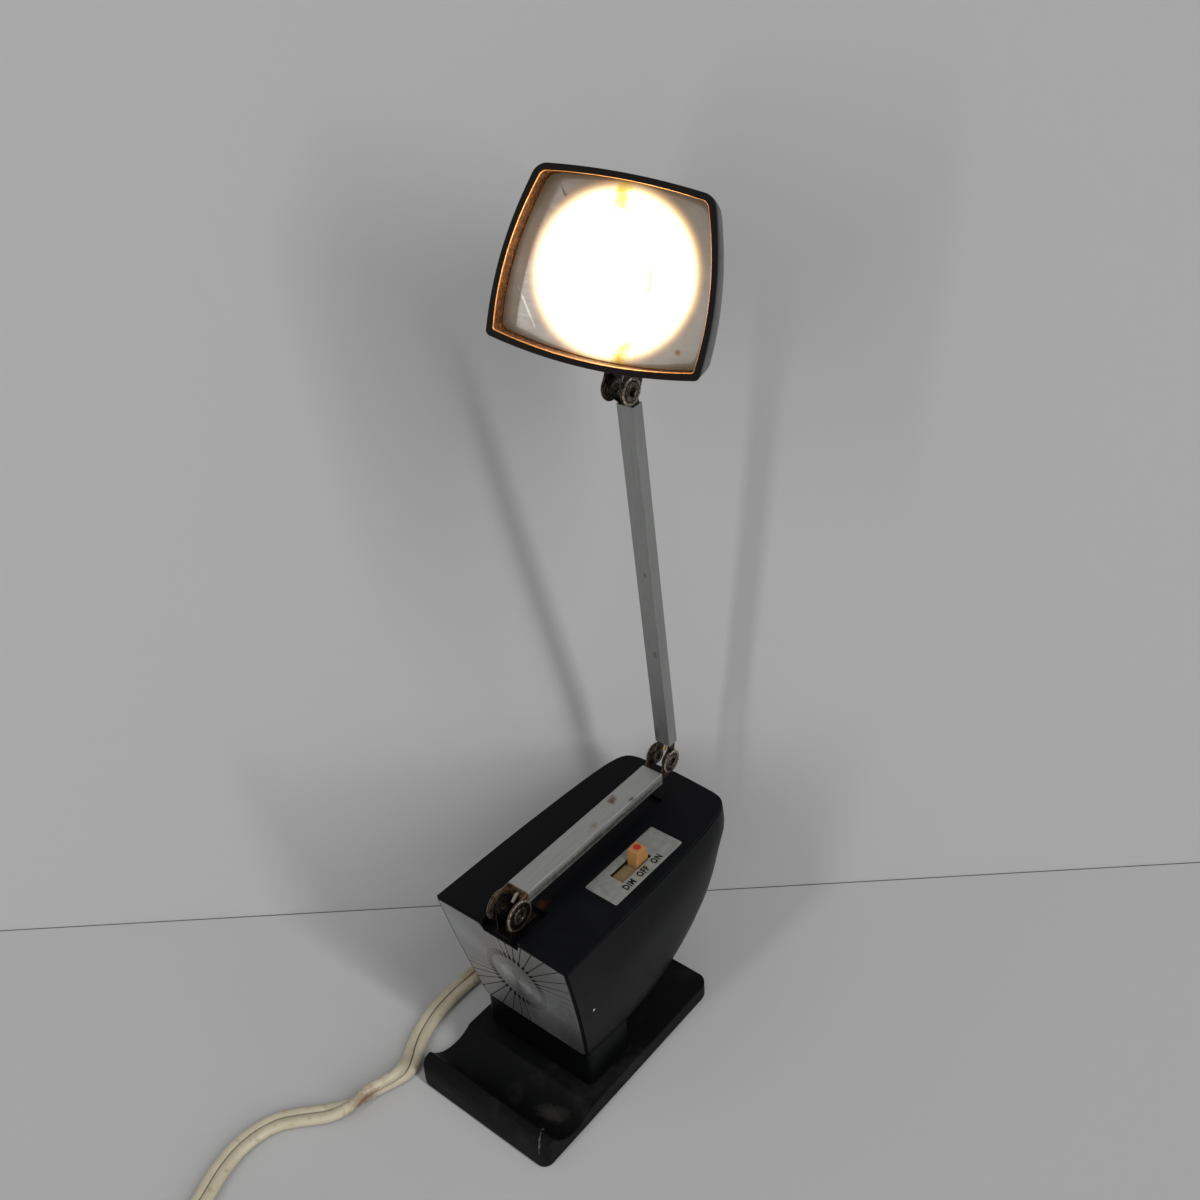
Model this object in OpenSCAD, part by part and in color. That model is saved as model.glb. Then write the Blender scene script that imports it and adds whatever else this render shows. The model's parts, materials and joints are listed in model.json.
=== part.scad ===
// Folding two-arm desk lamp with its transformer in the body. Millimetres, +Z up.
// The origin is on the table under the middle of the base. The front panel faces -Y,
// the dimmer switch is on the +X side of the top.

/* [Base] */
// Width of the base
base_w = 58.4; // [56:0.1:62]
// Length of the base, front to rear
base_l = 92.4; // [90:0.2:98]
// Height of the flat platform of the base
platform_z = 6.4; // [6.2:0.1:6.8]
// Radius of the pen groove across the front of the base
groove_r = 12.8; // [12:0.1:13.4]

/* [Body] */
// Height of the body's top edges above the table
body_top_z = 75; // [74.5:0.1:76]
// Width of the body at its front top edge
body_top_w = 57; // [56:0.1:58.5]
// Width of the body at the bottom of its front
body_low_w = 47.2; // [46:0.1:48]
// Wall thickness of the moulded housing
wall = 2; // [1.6:0.1:2.2]
// Rise of the crowned top in the middle
crown = 1.1; // [0.9:0.1:1.4]

/* [Arms] */
// Width of the lower arm
lower_w = 8.6; // [8.5:0.1:9]
// Width of the upper arm
upper_w = 6.3; // [6.2:0.1:6.4]
// Height of both arms' section
arm_h = 4.4; // [4.2:0.1:4.6]
// Offset of the lower arm's hinge pins from its axis
lower_offset = 3.6; // [3.5:0.05:3.8]
// Offset of the upper arm's hinge pins from its axis
upper_offset = 3; // [2.95:0.05:3.2]
// Length of the upper arm between its hinge pins
upper_len = 145.8; // [138:0.1:160]
// Forward lean of the upper arm at rest, in degrees
upper_lean = 4.5; // [0:0.1:12]

/* [Head] */
// Lean of the head back from upright at rest, in degrees
head_tilt = 23.7; // [10:0.1:30]
// Turn of the shade to the +X side at rest, in degrees
head_turn = 22.7; // [0:0.1:40]
// Width of the rim at the hinge side
rim_low_w = 60; // [58:0.1:62]
// Width of the rim at the far side
rim_top_w = 49.2; // [47:0.1:50]
// Height of the rim at its corners
rim_h = 46.5; // [45.5:0.1:47]
// Depth of the shade
shade_d = 46; // [45:0.2:48]

/* [Switch] */
// Travel of the switch knob from ON to DIM
knob_travel = 7.4; // [6:0.1:7.6]

/* [Hidden] */
$fn = 64;
gap = 0.05;
sheet_t = 0.6;

// Base
pad_t = 0.8;
base_rim_z = 0.3;
base_skin = 2;
front_y0 = -base_l / 2 - 0.6;
groove_y = -29.8;
groove_z = 16.5;
lip_z = 10.5;
neck_w = body_low_w;
neck_front = -16.4;
neck_rear = 6.2;
neck_z1 = 24;
base_screw_x = 16;
base_screw_y = -5;
screw_r = 1.5;

// Body
body_bottom_z = 20.7;
body_front_y = -27.4;
body_foot_y = -16.4;
panel_t = 0.6;
part_z = body_top_z - 0.8;
stern_y = 12;
stern_z = 66;
stern_n = 2.15;
rear_y_max = 68.5;
low_round = 3.5;
crown_r = (pow(body_top_w / 2, 2) + crown * crown) / (2 * crown);
pocket_w = 15.2;
pocket_rear = -11;
rivet_y = [-21.4, -14.4];
pocket_z = 72.7;
channel_w = 9.6;
channel_rear = 53;
channel_z = 74.8;
cover_screw_x = 14;
cover_screw_y = 54;

// Transformer
core_w = 38;
core_y0 = 4;
core_y1 = 30;
core_z0 = 30;
core_z1 = 60;
leg_w = core_w / 6;
winding_out = 6;
strap_t = 1.1;
post_x = 15.9;
post_y = 17;

// Switch
plate_x0 = 9.4;
plate_x1 = 22.9;
plate_y0 = 4.3;
plate_y1 = 40.4;
plate_z = 74.9;
plate_t = 0.6;
slot_x0 = 12.5;
slot_x1 = 18.3;
slot_y0 = 13.4;
slot_y1 = 29;
bay_x0 = 11.3;
bay_x1 = 19.4;
switch_z0 = 63.4;
switch_z1 = 72.5;
switch_screw_x = 20.6;
switch_screw_y = [8, 34];
switch_screw_r = 0.8;
switch_head_r = 1.35;
knob_z = 77.4;
knob_h = 3.4;
knob_l = 6.2;
knob_w = 4.5;
knob_mid_y = 25.1;

// Hinges: distances from the middle plane, out along the pin
tube_wall = 0.45;
inner_x = upper_w / 2 - tube_wall - gap - sheet_t;
washer_x = inner_x + sheet_t + gap;
outer_x = upper_w / 2 + gap;
disc_x = outer_x + sheet_t;
flange_x = disc_x + 0.4;
end_x = flange_x + 0.3;
// The shoulder's stack stands this much wider, with larger discs outside the lower arm
shoulder_out = 0.6;
shoulder_disc_r = 5.5;
strap_ear_r = 5.3;
pin_r = 2;
ear_hole_r = pin_r + gap;
inner_ear_r = 3.3;
outer_ear_r = 4.4;
disc_r = 4.3;

// Hinge places
shoulder = [0, -21.3, 81.1];
lower_y0 = -16.3;
lower_y1 = 54.2;
elbow = [0, 60.2, shoulder[2] + 2 * lower_offset];
upper_angle = 90 + upper_lean;
head_pin = elbow + upper_len * [0, -sin(upper_lean), cos(upper_lean)];
tube_start = 5.9;

// Head, in the frame of its hinge: -Y forward, +Z up the shade
web_z = 6;
shade_low = web_z + sheet_t + 0.4;
swivel_y = -8;
rim_ahead = 21.7;
shade_wall = 1.8;
low_bow = 3.1;
side_bow = 2.6;
top_bow = 1.5;
// The low edge hangs lower at the rim than over the hinge
rim_low_z = 5.6;
low_rise_d = 12;
corner_z = rim_low_z + low_bow;
shade_mid_z = 29.4;
plate_depth = 9;
dish_r = 21.6;
dish_depth = 12;
dish_z = corner_z + 22.5;
bulb_r = 9;
bulb_depth = 11.5;
shade_back = 0.6;
socket_rear = bulb_depth - rim_ahead + 25.6;

// Flat two-core flex
flex_w = 7.2;
flex_t = 3.6;
relief_x = -12;
relief_z = 12.5;
relief_len = 20;
// Free stretch: x, y, z of the middle and the roll of the flat side in degrees
flex_path = [
    [-12, 26.2, 12.5, 0], [-12.2, 31, 12.2, 0], [-14.5, 36.5, 11.6, 0], [-19.5, 40.5, 10.8, 0],
    [-26, 41.5, 9.6, 0], [-32.5, 39.2, 7.8, 0], [-38, 34, 5.8, 0], [-42, 27, 4, 0],
    [-44.6, 18, 2.6, 0], [-46, 8, 2, 0], [-46.4, -3, 2, 0], [-46.6, -14, 2, 0],
    [-45.4, -25, 2, 0], [-41.6, -36, 2.2, 0], [-36.8, -44.5, 2.6, 20], [-34.9, -51, 4, 75],
    [-36.4, -57.5, 4.2, 95], [-38.3, -63.5, 4.2, 100], [-39.9, -69.5, 3.4, 140], [-44, -76, 2.4, 175],
    [-50.5, -82.5, 2, 180], [-55.6, -88.5, 2, 180], [-58.4, -96, 2, 180], [-58.8, -104.5, 2, 180],
    [-56.8, -113.5, 2, 180], [-53.2, -122.5, 2, 180], [-49.8, -132, 2, 180], [-47, -143, 2.2, 180],
    [-45.4, -155, 2.6, 180], [-45, -167, 2.9, 180]];
// Coil: two layers, wound in and then out again
coil_c = [3, -167];
coil_r1 = 48;
coil_pitch = 8;
coil_turns = 2.5;
coil_z = 2.9;
coil_layer = 4.2;
coil_rings = 24;
coil_end = 10;
coil_swing = 8;
tie_w = 5;
tie_t = 0.7;
// Plug
plug_l = 30;
plug_w = 18;
plug_h = 14;
blade_gap = 12.7;
blade_l = 17.5;
blade_h = 6.4;
blade_t = 1.5;

// Shared shapes

// Rectangle with true arcs at its corners, centred
module round_rect(w, l, r) {
    square([w - 2 * r, l], center = true);
    square([w, l - 2 * r], center = true);
    for (x = [-1, 1], y = [-1, 1]) translate([x * (w / 2 - r), y * (l / 2 - r)]) circle(r);
}

// Block given by its two corners
module block(a, b) {
    translate(a) cube(b - a);
}

// Disc on the X axis from x0 to x1
module x_disc(r, x0, x1) {
    translate([x0, 0, 0]) rotate([0, 90, 0]) cylinder(r = r, h = x1 - x0);
}

// Flat sheet piece drawn in the YZ plane, from x0 to x1
module x_sheet(x0, x1) {
    translate([x0, 0, 0]) rotate([90, 0, 90]) linear_extrude(x1 - x0) children();
}

function unit(v) = v / norm(v);

module both_sides() {
    children();
    mirror([1, 0, 0]) children();
}

// Closed skin through rings of equal count, each anticlockwise seen from the last one
module loft(rings) {
    n = len(rings[0]);
    m = len(rings);
    polyhedron(
        points = [for (r = rings, p = r) p],
        faces = concat(
            [for (j = [0:m - 2], i = [0:n - 1], t = [0, 1])
                let (a = j * n + i, b = j * n + (i + 1) % n) t == 0 ? [a, b + n, b] : [a, a + n, b + n]],
            [[for (i = [0:n - 1]) i]],
            [[for (i = [n - 1:-1:0]) (m - 1) * n + i]]),
        convexity = 6);
}

// The base

module base_outline(inset) {
    r_front = 3.5 - inset;
    r_rear = 6 - inset;
    hw = base_w / 2 - inset;
    y0 = front_y0 + inset;
    y1 = base_l / 2 - inset;
    polygon([[-hw + r_front, y0], [hw - r_front, y0], [hw, y0 + r_front], [hw, y1 - r_rear],
        [hw - r_rear, y1], [-hw + r_rear, y1], [-hw, y1 - r_rear], [-hw, y0 + r_front]]);
    for (s = [-1, 1]) {
        translate([s * (hw - r_front), y0 + r_front]) circle(r_front);
        translate([s * (hw - r_rear), y1 - r_rear]) circle(r_rear);
    }
}

module base_shell() color("#17181a") difference() {
    intersection() {
        linear_extrude(lip_z + 1) base_outline(0);
        difference() {
            x_sheet(-base_w, base_w) polygon([[front_y0, base_rim_z], [front_y0, 3.2], [front_y0 + 1.1, 8.4],
                [front_y0 + 3, 10], [front_y0 + 4.8, lip_z], [groove_y, lip_z], [groove_y, platform_z],
                [base_l / 2 - 0.8, platform_z], [base_l / 2, platform_z - 0.8], [base_l / 2, base_rim_z]]);
            translate([0, groove_y, groove_z]) x_disc(groove_r, -base_w, base_w);
        }
    }
    // Recess for the pad, then the pocket for the weight
    translate([0, 0, -1]) linear_extrude(pad_t + 1) base_outline(1.2);
    block([-26.6, -18.1, 0], [26.6, 42.6, 4.3]);
    for (s = [-1, 1]) translate([s * base_screw_x, base_screw_y, 0]) cylinder(r = screw_r + 0.2, h = 10);
}

module base_weight() color("#6d6f70") difference() {
    block([-26.4, -17.9, pad_t], [26.4, 42.4, 4.2]);
    for (s = [-1, 1]) translate([s * base_screw_x, base_screw_y, 0]) {
        cylinder(r = screw_r + 0.2, h = 10);
        cylinder(r = 3.2, h = pad_t + 2);
    }
}

module base_pad() color("#222322") linear_extrude(pad_t) base_outline(1.3);

module base_screws() color("#8b8d8f") for (s = [-1, 1]) translate([s * base_screw_x, base_screw_y, 0]) {
    translate([0, 0, pad_t + 0.1]) cylinder(r = 3, h = 1.9);
    translate([0, 0, pad_t + 2]) cylinder(r = screw_r, h = 13);
}

// The body

function clamp01(v) = max(0, min(1, v));

// Half width of the front at a height, for a skin set in by t
function front_half(z, t) =
    let (k = (z - body_bottom_z) / (body_top_z - body_bottom_z), r = low_round - t,
        dz = z - body_bottom_z - t, inset = dz < r ? r - sqrt(max(0, r * r - pow(r - dz, 2))) : 0)
    body_low_w / 2 + (body_top_w - body_low_w) / 2 * k + 4.2 * k * (1 - k) - t - inset;

function front_y(z) = panel_t + body_foot_y
    + (body_front_y - body_foot_y) * (z - body_bottom_z) / (body_top_z - body_bottom_z);

function rear_y(z, t) =
    let (u = clamp01((stern_z - z) / (stern_z - body_bottom_z - t)))
    stern_y + (rear_y_max - t - stern_y) * pow(1 - pow(u, stern_n), 1 / stern_n) - 0.06 * max(0, z - stern_z);

// Right half of the outline at a height, as the points of a flattened curve from front to rear
side_steps = [0, 0.02, 0.3, 1, 3, 8, 15, 25, 35, 45, 55, 65, 74, 81, 86, 90];

function body_half(z, t) =
    let (b = pow(clamp01((z - 58) / (body_top_z - 58)), 1.4), p = 5.5 + 8.5 * b,
        y0 = front_y(z) + t, y1 = rear_y(z, t), w = front_half(z, t))
    [for (a = side_steps) let (v = pow(sin(a), 2 / p),
        half = w - b * v * (0.6 + 3.6 * v) + (1 - b) * 4.4 * v * (1 - v),
        x = half * pow(max(0, cos(a)), 2 / p)) [x, y0 + (y1 - y0) * v - 2 * b * pow(x / w, 2) * pow(v, 6)]];

function body_outline(z, t) =
    let (h = body_half(z, t), n = len(h))
    concat(h, [for (i = [n - 2:-1:0]) [-h[i][0], h[i][1]]]);

function body_ring(z, t) = [for (p = body_outline(z, t)) [p[0], p[1], z]];

low_steps = [0, 0.25, 1, 2.1, 3.5, 6.3, 9.5, 14, 19, 24, 29, 34, 39, 43, 46.5, 49.5, 52];

module body_skin(t, top) {
    loft([for (s = low_steps) body_ring(body_bottom_z + t
        + s * (top - body_bottom_z - t) / low_steps[len(low_steps) - 1], t)]);
}

module neck(t) {
    translate([0, (neck_front + neck_rear) / 2, platform_z + t])
        linear_extrude(neck_z1 - platform_z - t)
            round_rect(neck_w - 2 * t, neck_rear - neck_front - 2 * t, 2.6 - t);
}

module housing() color("#131416") difference() {
    union() {
        difference() {
            union() {
                body_skin(0, part_z);
                difference() {
                    neck(0);
                    front_room(0.1);
                }
            }
            body_skin(wall, part_z + 0.5);
            neck(wall);
            // Notch for the hinge pocket of the cover
            block([-9.3, -40, 70.8], [9.3, -20, 80]);
        }
        for (s = [-1, 1]) {
            translate([s * base_screw_x, base_screw_y, platform_z + 1]) cylinder(r = 3.2, h = 11);
            translate([s * post_x, post_y, body_bottom_z + 0.8])
                cylinder(r = 3, h = core_z0 - body_bottom_z - 0.8);
            translate([s * cover_screw_x, cover_screw_y, 40]) cylinder(r = 4.4, h = 20);
        }
    }
    for (s = [-1, 1]) {
        translate([s * base_screw_x, base_screw_y, 0]) cylinder(r = screw_r + gap, h = 16.5);
        translate([s * post_x, post_y, body_bottom_z + 2.5]) cylinder(r = screw_r + gap, h = 20);
        translate([s * cover_screw_x, cover_screw_y, 20]) {
            cylinder(r = screw_r + 0.2, h = 45);
            cylinder(r = 3.1, h = 25);
        }
    }
    // Outlet for the flex in the rear of the neck
    translate([relief_x, neck_rear - wall - 1, relief_z]) rotate([-90, 0, 0])
        linear_extrude(wall + 2) round_rect(9.2, 6.2, 2.5);
}

// Everything in front of the leaning plane that the front plate lies on
front_lean = atan((body_foot_y - body_front_y) / (body_top_z - body_bottom_z));
module on_front() {
    translate([0, body_foot_y + panel_t, body_bottom_z]) rotate([90 + front_lean, 0, 0]) children();
}

module front_room(behind = 0) on_front() translate([-40, 0.5, -behind]) cube([80, 60, 8]);

module cover_crown() {
    translate([0, -60, body_top_z + crown - crown_r]) rotate([-90, 0, 0])
        cylinder(r = crown_r, h = 160, $fn = 360);
}

module top_cover() color("#15161a") difference() {
    union() {
        intersection() {
            translate([0, 0, part_z]) linear_extrude(4) polygon(body_outline(body_top_z, 0));
            cover_crown();
        }
        translate([0, 0, 72.6]) linear_extrude(part_z - 72.6) polygon(body_outline(body_top_z, wall + 0.7));
        block([-9.2, front_y(71), 70.9], [9.2, -9.4, 73]);
        for (s = [-1, 1]) translate([s * cover_screw_x, cover_screw_y, 60.1]) cylinder(r = 3.2, h = 13);
    }
    front_room();
    block([-pocket_w / 2, -40, pocket_z], [pocket_w / 2, pocket_rear, 80]);
    block([-channel_w / 2, pocket_rear - 1, channel_z], [channel_w / 2, channel_rear, 80]);
    block([plate_x0 - 0.1, plate_y0 - 0.1, plate_z], [plate_x1 + 0.1, plate_y1 + 0.1, 80]);
    block([slot_x0 - 0.1, slot_y0, 70], [slot_x1 + 0.1, slot_y1 + 0.1, 80]);
    // Bay for the slider under the slot
    block([bay_x0, 5.2, 70], [bay_x1, 38.2, 73.5]);
    for (y = switch_screw_y) translate([switch_screw_x, y, 70]) {
        cylinder(r = switch_screw_r + gap, h = 8);
        translate([0, 0, 4.1]) cylinder(r = switch_head_r + gap, h = 4);
    }
    for (y = rivet_y) translate([0, y, 70]) cylinder(r = 1.2 + gap, h = 8);
    for (s = [-1, 1]) translate([s * cover_screw_x, cover_screw_y, 60]) cylinder(r = screw_r + gap, h = 10);
}

module cover_screws() color("#8b8d8f") for (s = [-1, 1]) translate([s * cover_screw_x, cover_screw_y, 0]) {
    translate([0, 0, 42.9]) cylinder(r = 2.8, h = 2.1);
    translate([0, 0, 45]) cylinder(r = screw_r, h = 23);
}

// Front plate, flat on the leaning front of the body
module front_panel() {
    steps = 18;
    z0 = body_bottom_z + 0.7;
    z1 = body_top_z - 0.3;
    function row(i) = z0 + (z1 - z0) * pow(i / steps, 1.5);
    side = [for (i = [0:steps]) [front_half(row(i), 0) - 0.6, (row(i) - body_bottom_z) / cos(front_lean)]];
    top = side[steps][1];
    edge = concat(side,
        [for (i = [8:-1:-8]) let (x = i * 3.2) [x, top + (crown - 0.2) * (1 - pow(i / 8.6, 2))]],
        [for (i = [steps:-1:0]) [-side[i][0], side[i][1]]]);
    color("#c9cbcd") difference() {
        on_front() linear_extrude(panel_t - 0.02) polygon(edge);
        block([-pocket_w / 2, -40, pocket_z - 0.3], [pocket_w / 2, -20, 80]);
    }
}

// The transformer in the body

module transformer_core() color("#5b5550") difference() {
    block([-core_w / 2, core_y0, core_z0], [core_w / 2, core_y1, core_z1]);
    for (s = [-1, 1]) {
        translate([s * 1.5 * leg_w - leg_w / 2, core_y0 - 1, core_z0 + leg_w])
            cube([leg_w, core_y1 - core_y0 + 2, core_z1 - core_z0 - 2 * leg_w]);
        translate([s * post_x, post_y, core_z0 - 1]) cylinder(r = screw_r + 0.2, h = core_z1 - core_z0 + 2);
    }
}

module transformer_winding() color("#b8863a") difference() {
    block([0.1 - 2 * leg_w, core_y0 - winding_out, core_z0 + leg_w + 0.1],
        [2 * leg_w - 0.1, core_y1 + winding_out, core_z1 - leg_w - 0.1]);
    block([-leg_w - 0.1, core_y0 - 0.2, core_z0], [leg_w + 0.1, core_y1 + 0.2, core_z1]);
}

module transformer_strap() color("#8f9294") difference() {
    union() {
        block([-core_w / 2 - strap_t, core_y0 + 4, core_z1],
            [core_w / 2 + strap_t, core_y1 - 4, core_z1 + strap_t]);
        both_sides() block([core_w / 2, core_y0 + 4, core_z0 + 12],
            [core_w / 2 + strap_t, core_y1 - 4, core_z1 + strap_t]);
    }
    for (s = [-1, 1]) translate([s * post_x, post_y, core_z1 - 1]) cylinder(r = screw_r + 0.2, h = 4);
}

module transformer_screws() color("#a9abad") for (s = [-1, 1]) translate([s * post_x, post_y, 0]) {
    translate([0, 0, core_z0 - 6]) cylinder(r = screw_r, h = core_z1 - core_z0 + strap_t + 6);
    translate([0, 0, core_z1 + strap_t]) cylinder(r = 2.7, h = 1.8);
}

// Insulated lead through a few points, as an eight-sided tube
module lead(points, r) {
    n = len(points);
    loft([for (i = [0:n - 1])
        let (ahead = unit(points[min(n - 1, i + 1)] - points[max(0, i - 1)]),
            side = unit(cross(ahead, [1, 0.4, 0.2])), up = cross(ahead, side))
        [for (a = [0:45:315]) points[i] + r * (side * cos(a) + up * sin(a))]]);
}

module internal_leads() color("#7d3a2e") {
    lead([[relief_x, 2.2, relief_z], [-11, -3, 17], [-9, -9, 28], [-9, -9, 40], [-8, -3.2, 44]], 1);
    lead([[11, -4.6, 50], [11, -10, 56], [13, -10, 64], [15, 1.5, 67]], 0.8);
    lead([[-8, -4.6, 50], [-8, -12, 58], [-3, -16, 66], [-3, -17.6, 69]], 0.8);
}

// The dimmer switch

module switch_body() color("#2a2b2d") difference() {
    block([bay_x0 - 0.9, 2.6, switch_z0], [22.1, 40.8, switch_z1]);
    block([bay_x0, 5.4, 71.1], [bay_x1, 38, 80]);
    block([bay_x0 + 1, 12, switch_z0 + 1.2], [bay_x1 - 1, 31, 80]);
    for (y = switch_screw_y) translate([switch_screw_x, y, 68.5]) cylinder(r = switch_screw_r + gap, h = 8);
}

module switch_screws() color("#a9abad") for (y = switch_screw_y) translate([switch_screw_x, y, 0]) {
    translate([0, 0, 69]) cylinder(r = switch_screw_r, h = 5.2);
    translate([0, 0, 74.15]) cylinder(r = switch_head_r, h = 0.7);
}

module switch_plate() color("#c4c5c4") difference() {
    translate([(plate_x0 + plate_x1) / 2, (plate_y0 + plate_y1) / 2, plate_z])
        linear_extrude(plate_t) round_rect(plate_x1 - plate_x0, plate_y1 - plate_y0, 0.8);
    block([slot_x0, slot_y0, 70], [slot_x1, slot_y1, 80]);
}

module switch_knob() color("#d9cfae") {
    knob_x = (slot_x0 + slot_x1 - knob_w) / 2;
    knob_y = knob_mid_y - knob_l / 2;
    // Slider that hides the empty part of the slot
    block([bay_x0 + 0.5, slot_y0 - 0.2, 71.3], [bay_x1 - 0.4, 36.8, 73.2]);
    x_sheet(knob_x, knob_x + knob_w) polygon([[knob_y, 73], [knob_y + knob_l, 73],
        [knob_y + knob_l, knob_z], [knob_y + knob_l - 0.7, knob_z + knob_h],
        [knob_y + 0.7, knob_z + knob_h], [knob_y, knob_z]]);
}

module knob_dot() color("#d8432c") {
    translate([(slot_x0 + slot_x1) / 2, knob_mid_y, knob_z + knob_h])
        cylinder(r = 1.3, h = 0.12);
}

// Hinge pieces, at a pin on the origin with the arm running to +Y above it. A stack may stand wider.

module stack(out) both_sides() translate([out, 0, 0]) children();

module eyelets(out = 0) color("#8d7a58") stack(out) difference() {
    union() {
        x_disc(pin_r, inner_x - 0.4, end_x);
        x_disc(2.8, inner_x - 0.4, inner_x - gap);
        x_disc(3, flange_x, end_x);
    }
    x_disc(pin_r - 0.6, 0, 9);
}

module washers(out = 0) color("#5f4a36") stack(out) difference() {
    x_disc(3.9, washer_x, outer_x);
    x_disc(ear_hole_r, 0, 9);
}

module discs(r = disc_r, out = 0) color("#6f573f") stack(out) x_sheet(disc_x, flange_x) difference() {
    circle(r);
    circle(ear_hole_r);
    for (i = [0:23]) rotate(i * 15) translate([r + 0.1, 0]) circle(0.32, $fn = 8);
}

// Strap across the end of the lower arm, with two ears round the shoulder's pin and a tongue in the tube
module strap(reach) color("#6a4a34") {
    low = lower_offset - arm_h / 2;
    high = lower_offset + arm_h / 2;
    stack(shoulder_out) x_sheet(outer_x, disc_x) difference() {
        union() {
            circle(strap_ear_r);
            polygon([[-1.6, strap_ear_r - 0.26], [reach - 0.1, high - 0.1], [reach - 0.1, low + 0.1],
                [1.5, 0.24 - strap_ear_r]]);
        }
        circle(ear_hole_r);
    }
    difference() {
        union() {
            block([-lower_w / 2, reach - sheet_t, low], [lower_w / 2, reach, high]);
            block([-2.6, reach - 0.3, low + tube_wall + gap],
                [2.6, reach + 5.5, low + tube_wall + gap + sheet_t]);
        }
        translate([0, 0, lower_offset]) rotate([-90, 0, 0]) cylinder(r = 0.9, h = 20);
    }
}

// Clevis: two ears that run into an arm's tube, joined by a web inside it
module clevis(ear_x, ear_r, start, offset) color("#6a4a34") {
    grip = arm_h / 2 - tube_wall - 2 * gap;
    both_sides() x_sheet(ear_x, ear_x + sheet_t) difference() {
        union() {
            circle(ear_r);
            polygon([[-1, ear_r - 0.17], [start, offset + grip], [start + 7, offset + grip],
                [start + 7, offset - grip], [start, offset - grip], [1.2, 0.24 - ear_r]]);
        }
        circle(ear_hole_r);
    }
    difference() {
        block([-ear_x - 0.1, start + 0.8, offset - grip + 0.1],
            [ear_x + 0.1, start + 0.8 + sheet_t, offset + grip - 0.1]);
        translate([0, 0, offset]) rotate([-90, 0, 0]) cylinder(r = 0.9, h = 20);
    }
}

// Flat tube of an arm along +Y above the pin
module arm_tube(w, offset, y0, y1) difference() {
    block([-w / 2, y0, offset - arm_h / 2], [w / 2, y1, offset + arm_h / 2]);
    block([tube_wall - w / 2, y0 - 1, offset - arm_h / 2 + tube_wall],
        [w / 2 - tube_wall, y1 + 1, offset + arm_h / 2 - tube_wall]);
}

// Lead that comes out of the arm and ends between the ears
module hinge_wire(from_y, offset) color("#b9923c") {
    lead([[0, from_y + 4, offset], [0, from_y - 1.2, offset], [0, from_y - 3.2, offset - 1.8]], 0.6);
}

module at_shoulder() translate(shoulder) children();
module at_elbow_lower() translate(elbow) rotate([180, 0, 0]) children();
module at_elbow_upper() translate(elbow) rotate([upper_angle, 0, 0]) mirror([0, 0, 1]) children();
module at_head_upper() translate(head_pin) rotate([upper_angle + 180, 0, 0]) children();
module at_head() translate(head_pin) rotate([-head_tilt, 0, 0]) children();
module at_shade() at_head() translate([0, swivel_y, 0]) rotate([0, 0, head_turn]) children();

// The shoulder

module shoulder_bracket() color("#6a4a34") {
    foot_x = shoulder_out + inner_x + sheet_t;
    difference() {
        block([-foot_x, -25.8, pocket_z], [foot_x, -12.2, pocket_z + sheet_t]);
        for (y = rivet_y) translate([0, y, 70]) cylinder(r = 1.2 + gap, h = 8);
    }
    at_shoulder() stack(shoulder_out) x_sheet(inner_x, inner_x + sheet_t) difference() {
        union() {
            circle(inner_ear_r);
            translate([-inner_ear_r, pocket_z + 0.3 - shoulder[2]])
                square([2 * inner_ear_r, shoulder[2] - pocket_z - 0.3]);
        }
        circle(ear_hole_r);
    }
}

module bracket_rivets() color("#8d7a58") for (y = rivet_y) translate([0, y, 0]) {
    translate([0, 0, 70.2]) cylinder(r = 1.2, h = 3.3);
    translate([0, 0, 70.2]) cylinder(r = 2, h = 0.7);
    translate([0, 0, pocket_z + sheet_t]) cylinder(r = 1.9, h = 0.6);
}

module shoulder_eyelets() at_shoulder() eyelets(shoulder_out);
module shoulder_washers() at_shoulder() washers(shoulder_out);
module shoulder_discs() at_shoulder() discs(shoulder_disc_r, shoulder_out);
module shoulder_wire() at_shoulder() hinge_wire(lower_y0 - shoulder[1], lower_offset);

// The arms

module lower_arm() color("#c3c4c2") translate([0, 0, shoulder[2]])
    arm_tube(lower_w, lower_offset, lower_y0, lower_y1);
module lower_arm_front_clevis() at_shoulder() strap(lower_y0 - shoulder[1]);
module lower_arm_rear_clevis() at_elbow_lower()
    clevis(outer_x, outer_ear_r, elbow[1] - lower_y1, lower_offset);
module elbow_eyelets() at_elbow_lower() eyelets();
module elbow_washers() at_elbow_lower() washers();
module elbow_discs() at_elbow_lower() discs();
module elbow_wire() at_elbow_upper() hinge_wire(tube_start, upper_offset);
module upper_arm() color("#b4b5b4") at_elbow_upper()
    arm_tube(upper_w, upper_offset, tube_start, upper_len - tube_start);
module upper_arm_low_clevis() at_elbow_upper() clevis(inner_x, inner_ear_r, tube_start, upper_offset);
module upper_arm_top_clevis() at_head_upper() clevis(inner_x, inner_ear_r, tube_start, upper_offset);
module head_wire() at_head_upper() hinge_wire(tube_start, upper_offset);

// The head

module head_bracket() color("#4d3a2c") at_head() {
    both_sides() x_sheet(outer_x, disc_x) difference() {
        union() {
            circle(outer_ear_r);
            translate([-outer_ear_r, 0]) square([2 * outer_ear_r, web_z + sheet_t - 0.1]);
        }
        circle(ear_hole_r);
    }
    difference() {
        block([-outer_x - 0.1, swivel_y - 4.6, web_z], [outer_x + 0.1, outer_ear_r - 0.1, web_z + sheet_t]);
        translate([0, swivel_y, 0]) cylinder(r = pin_r + gap, h = 20);
    }
}

module head_eyelets() at_head() eyelets();
module head_washers() at_head() washers();
module head_discs() at_head() discs();

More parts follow.
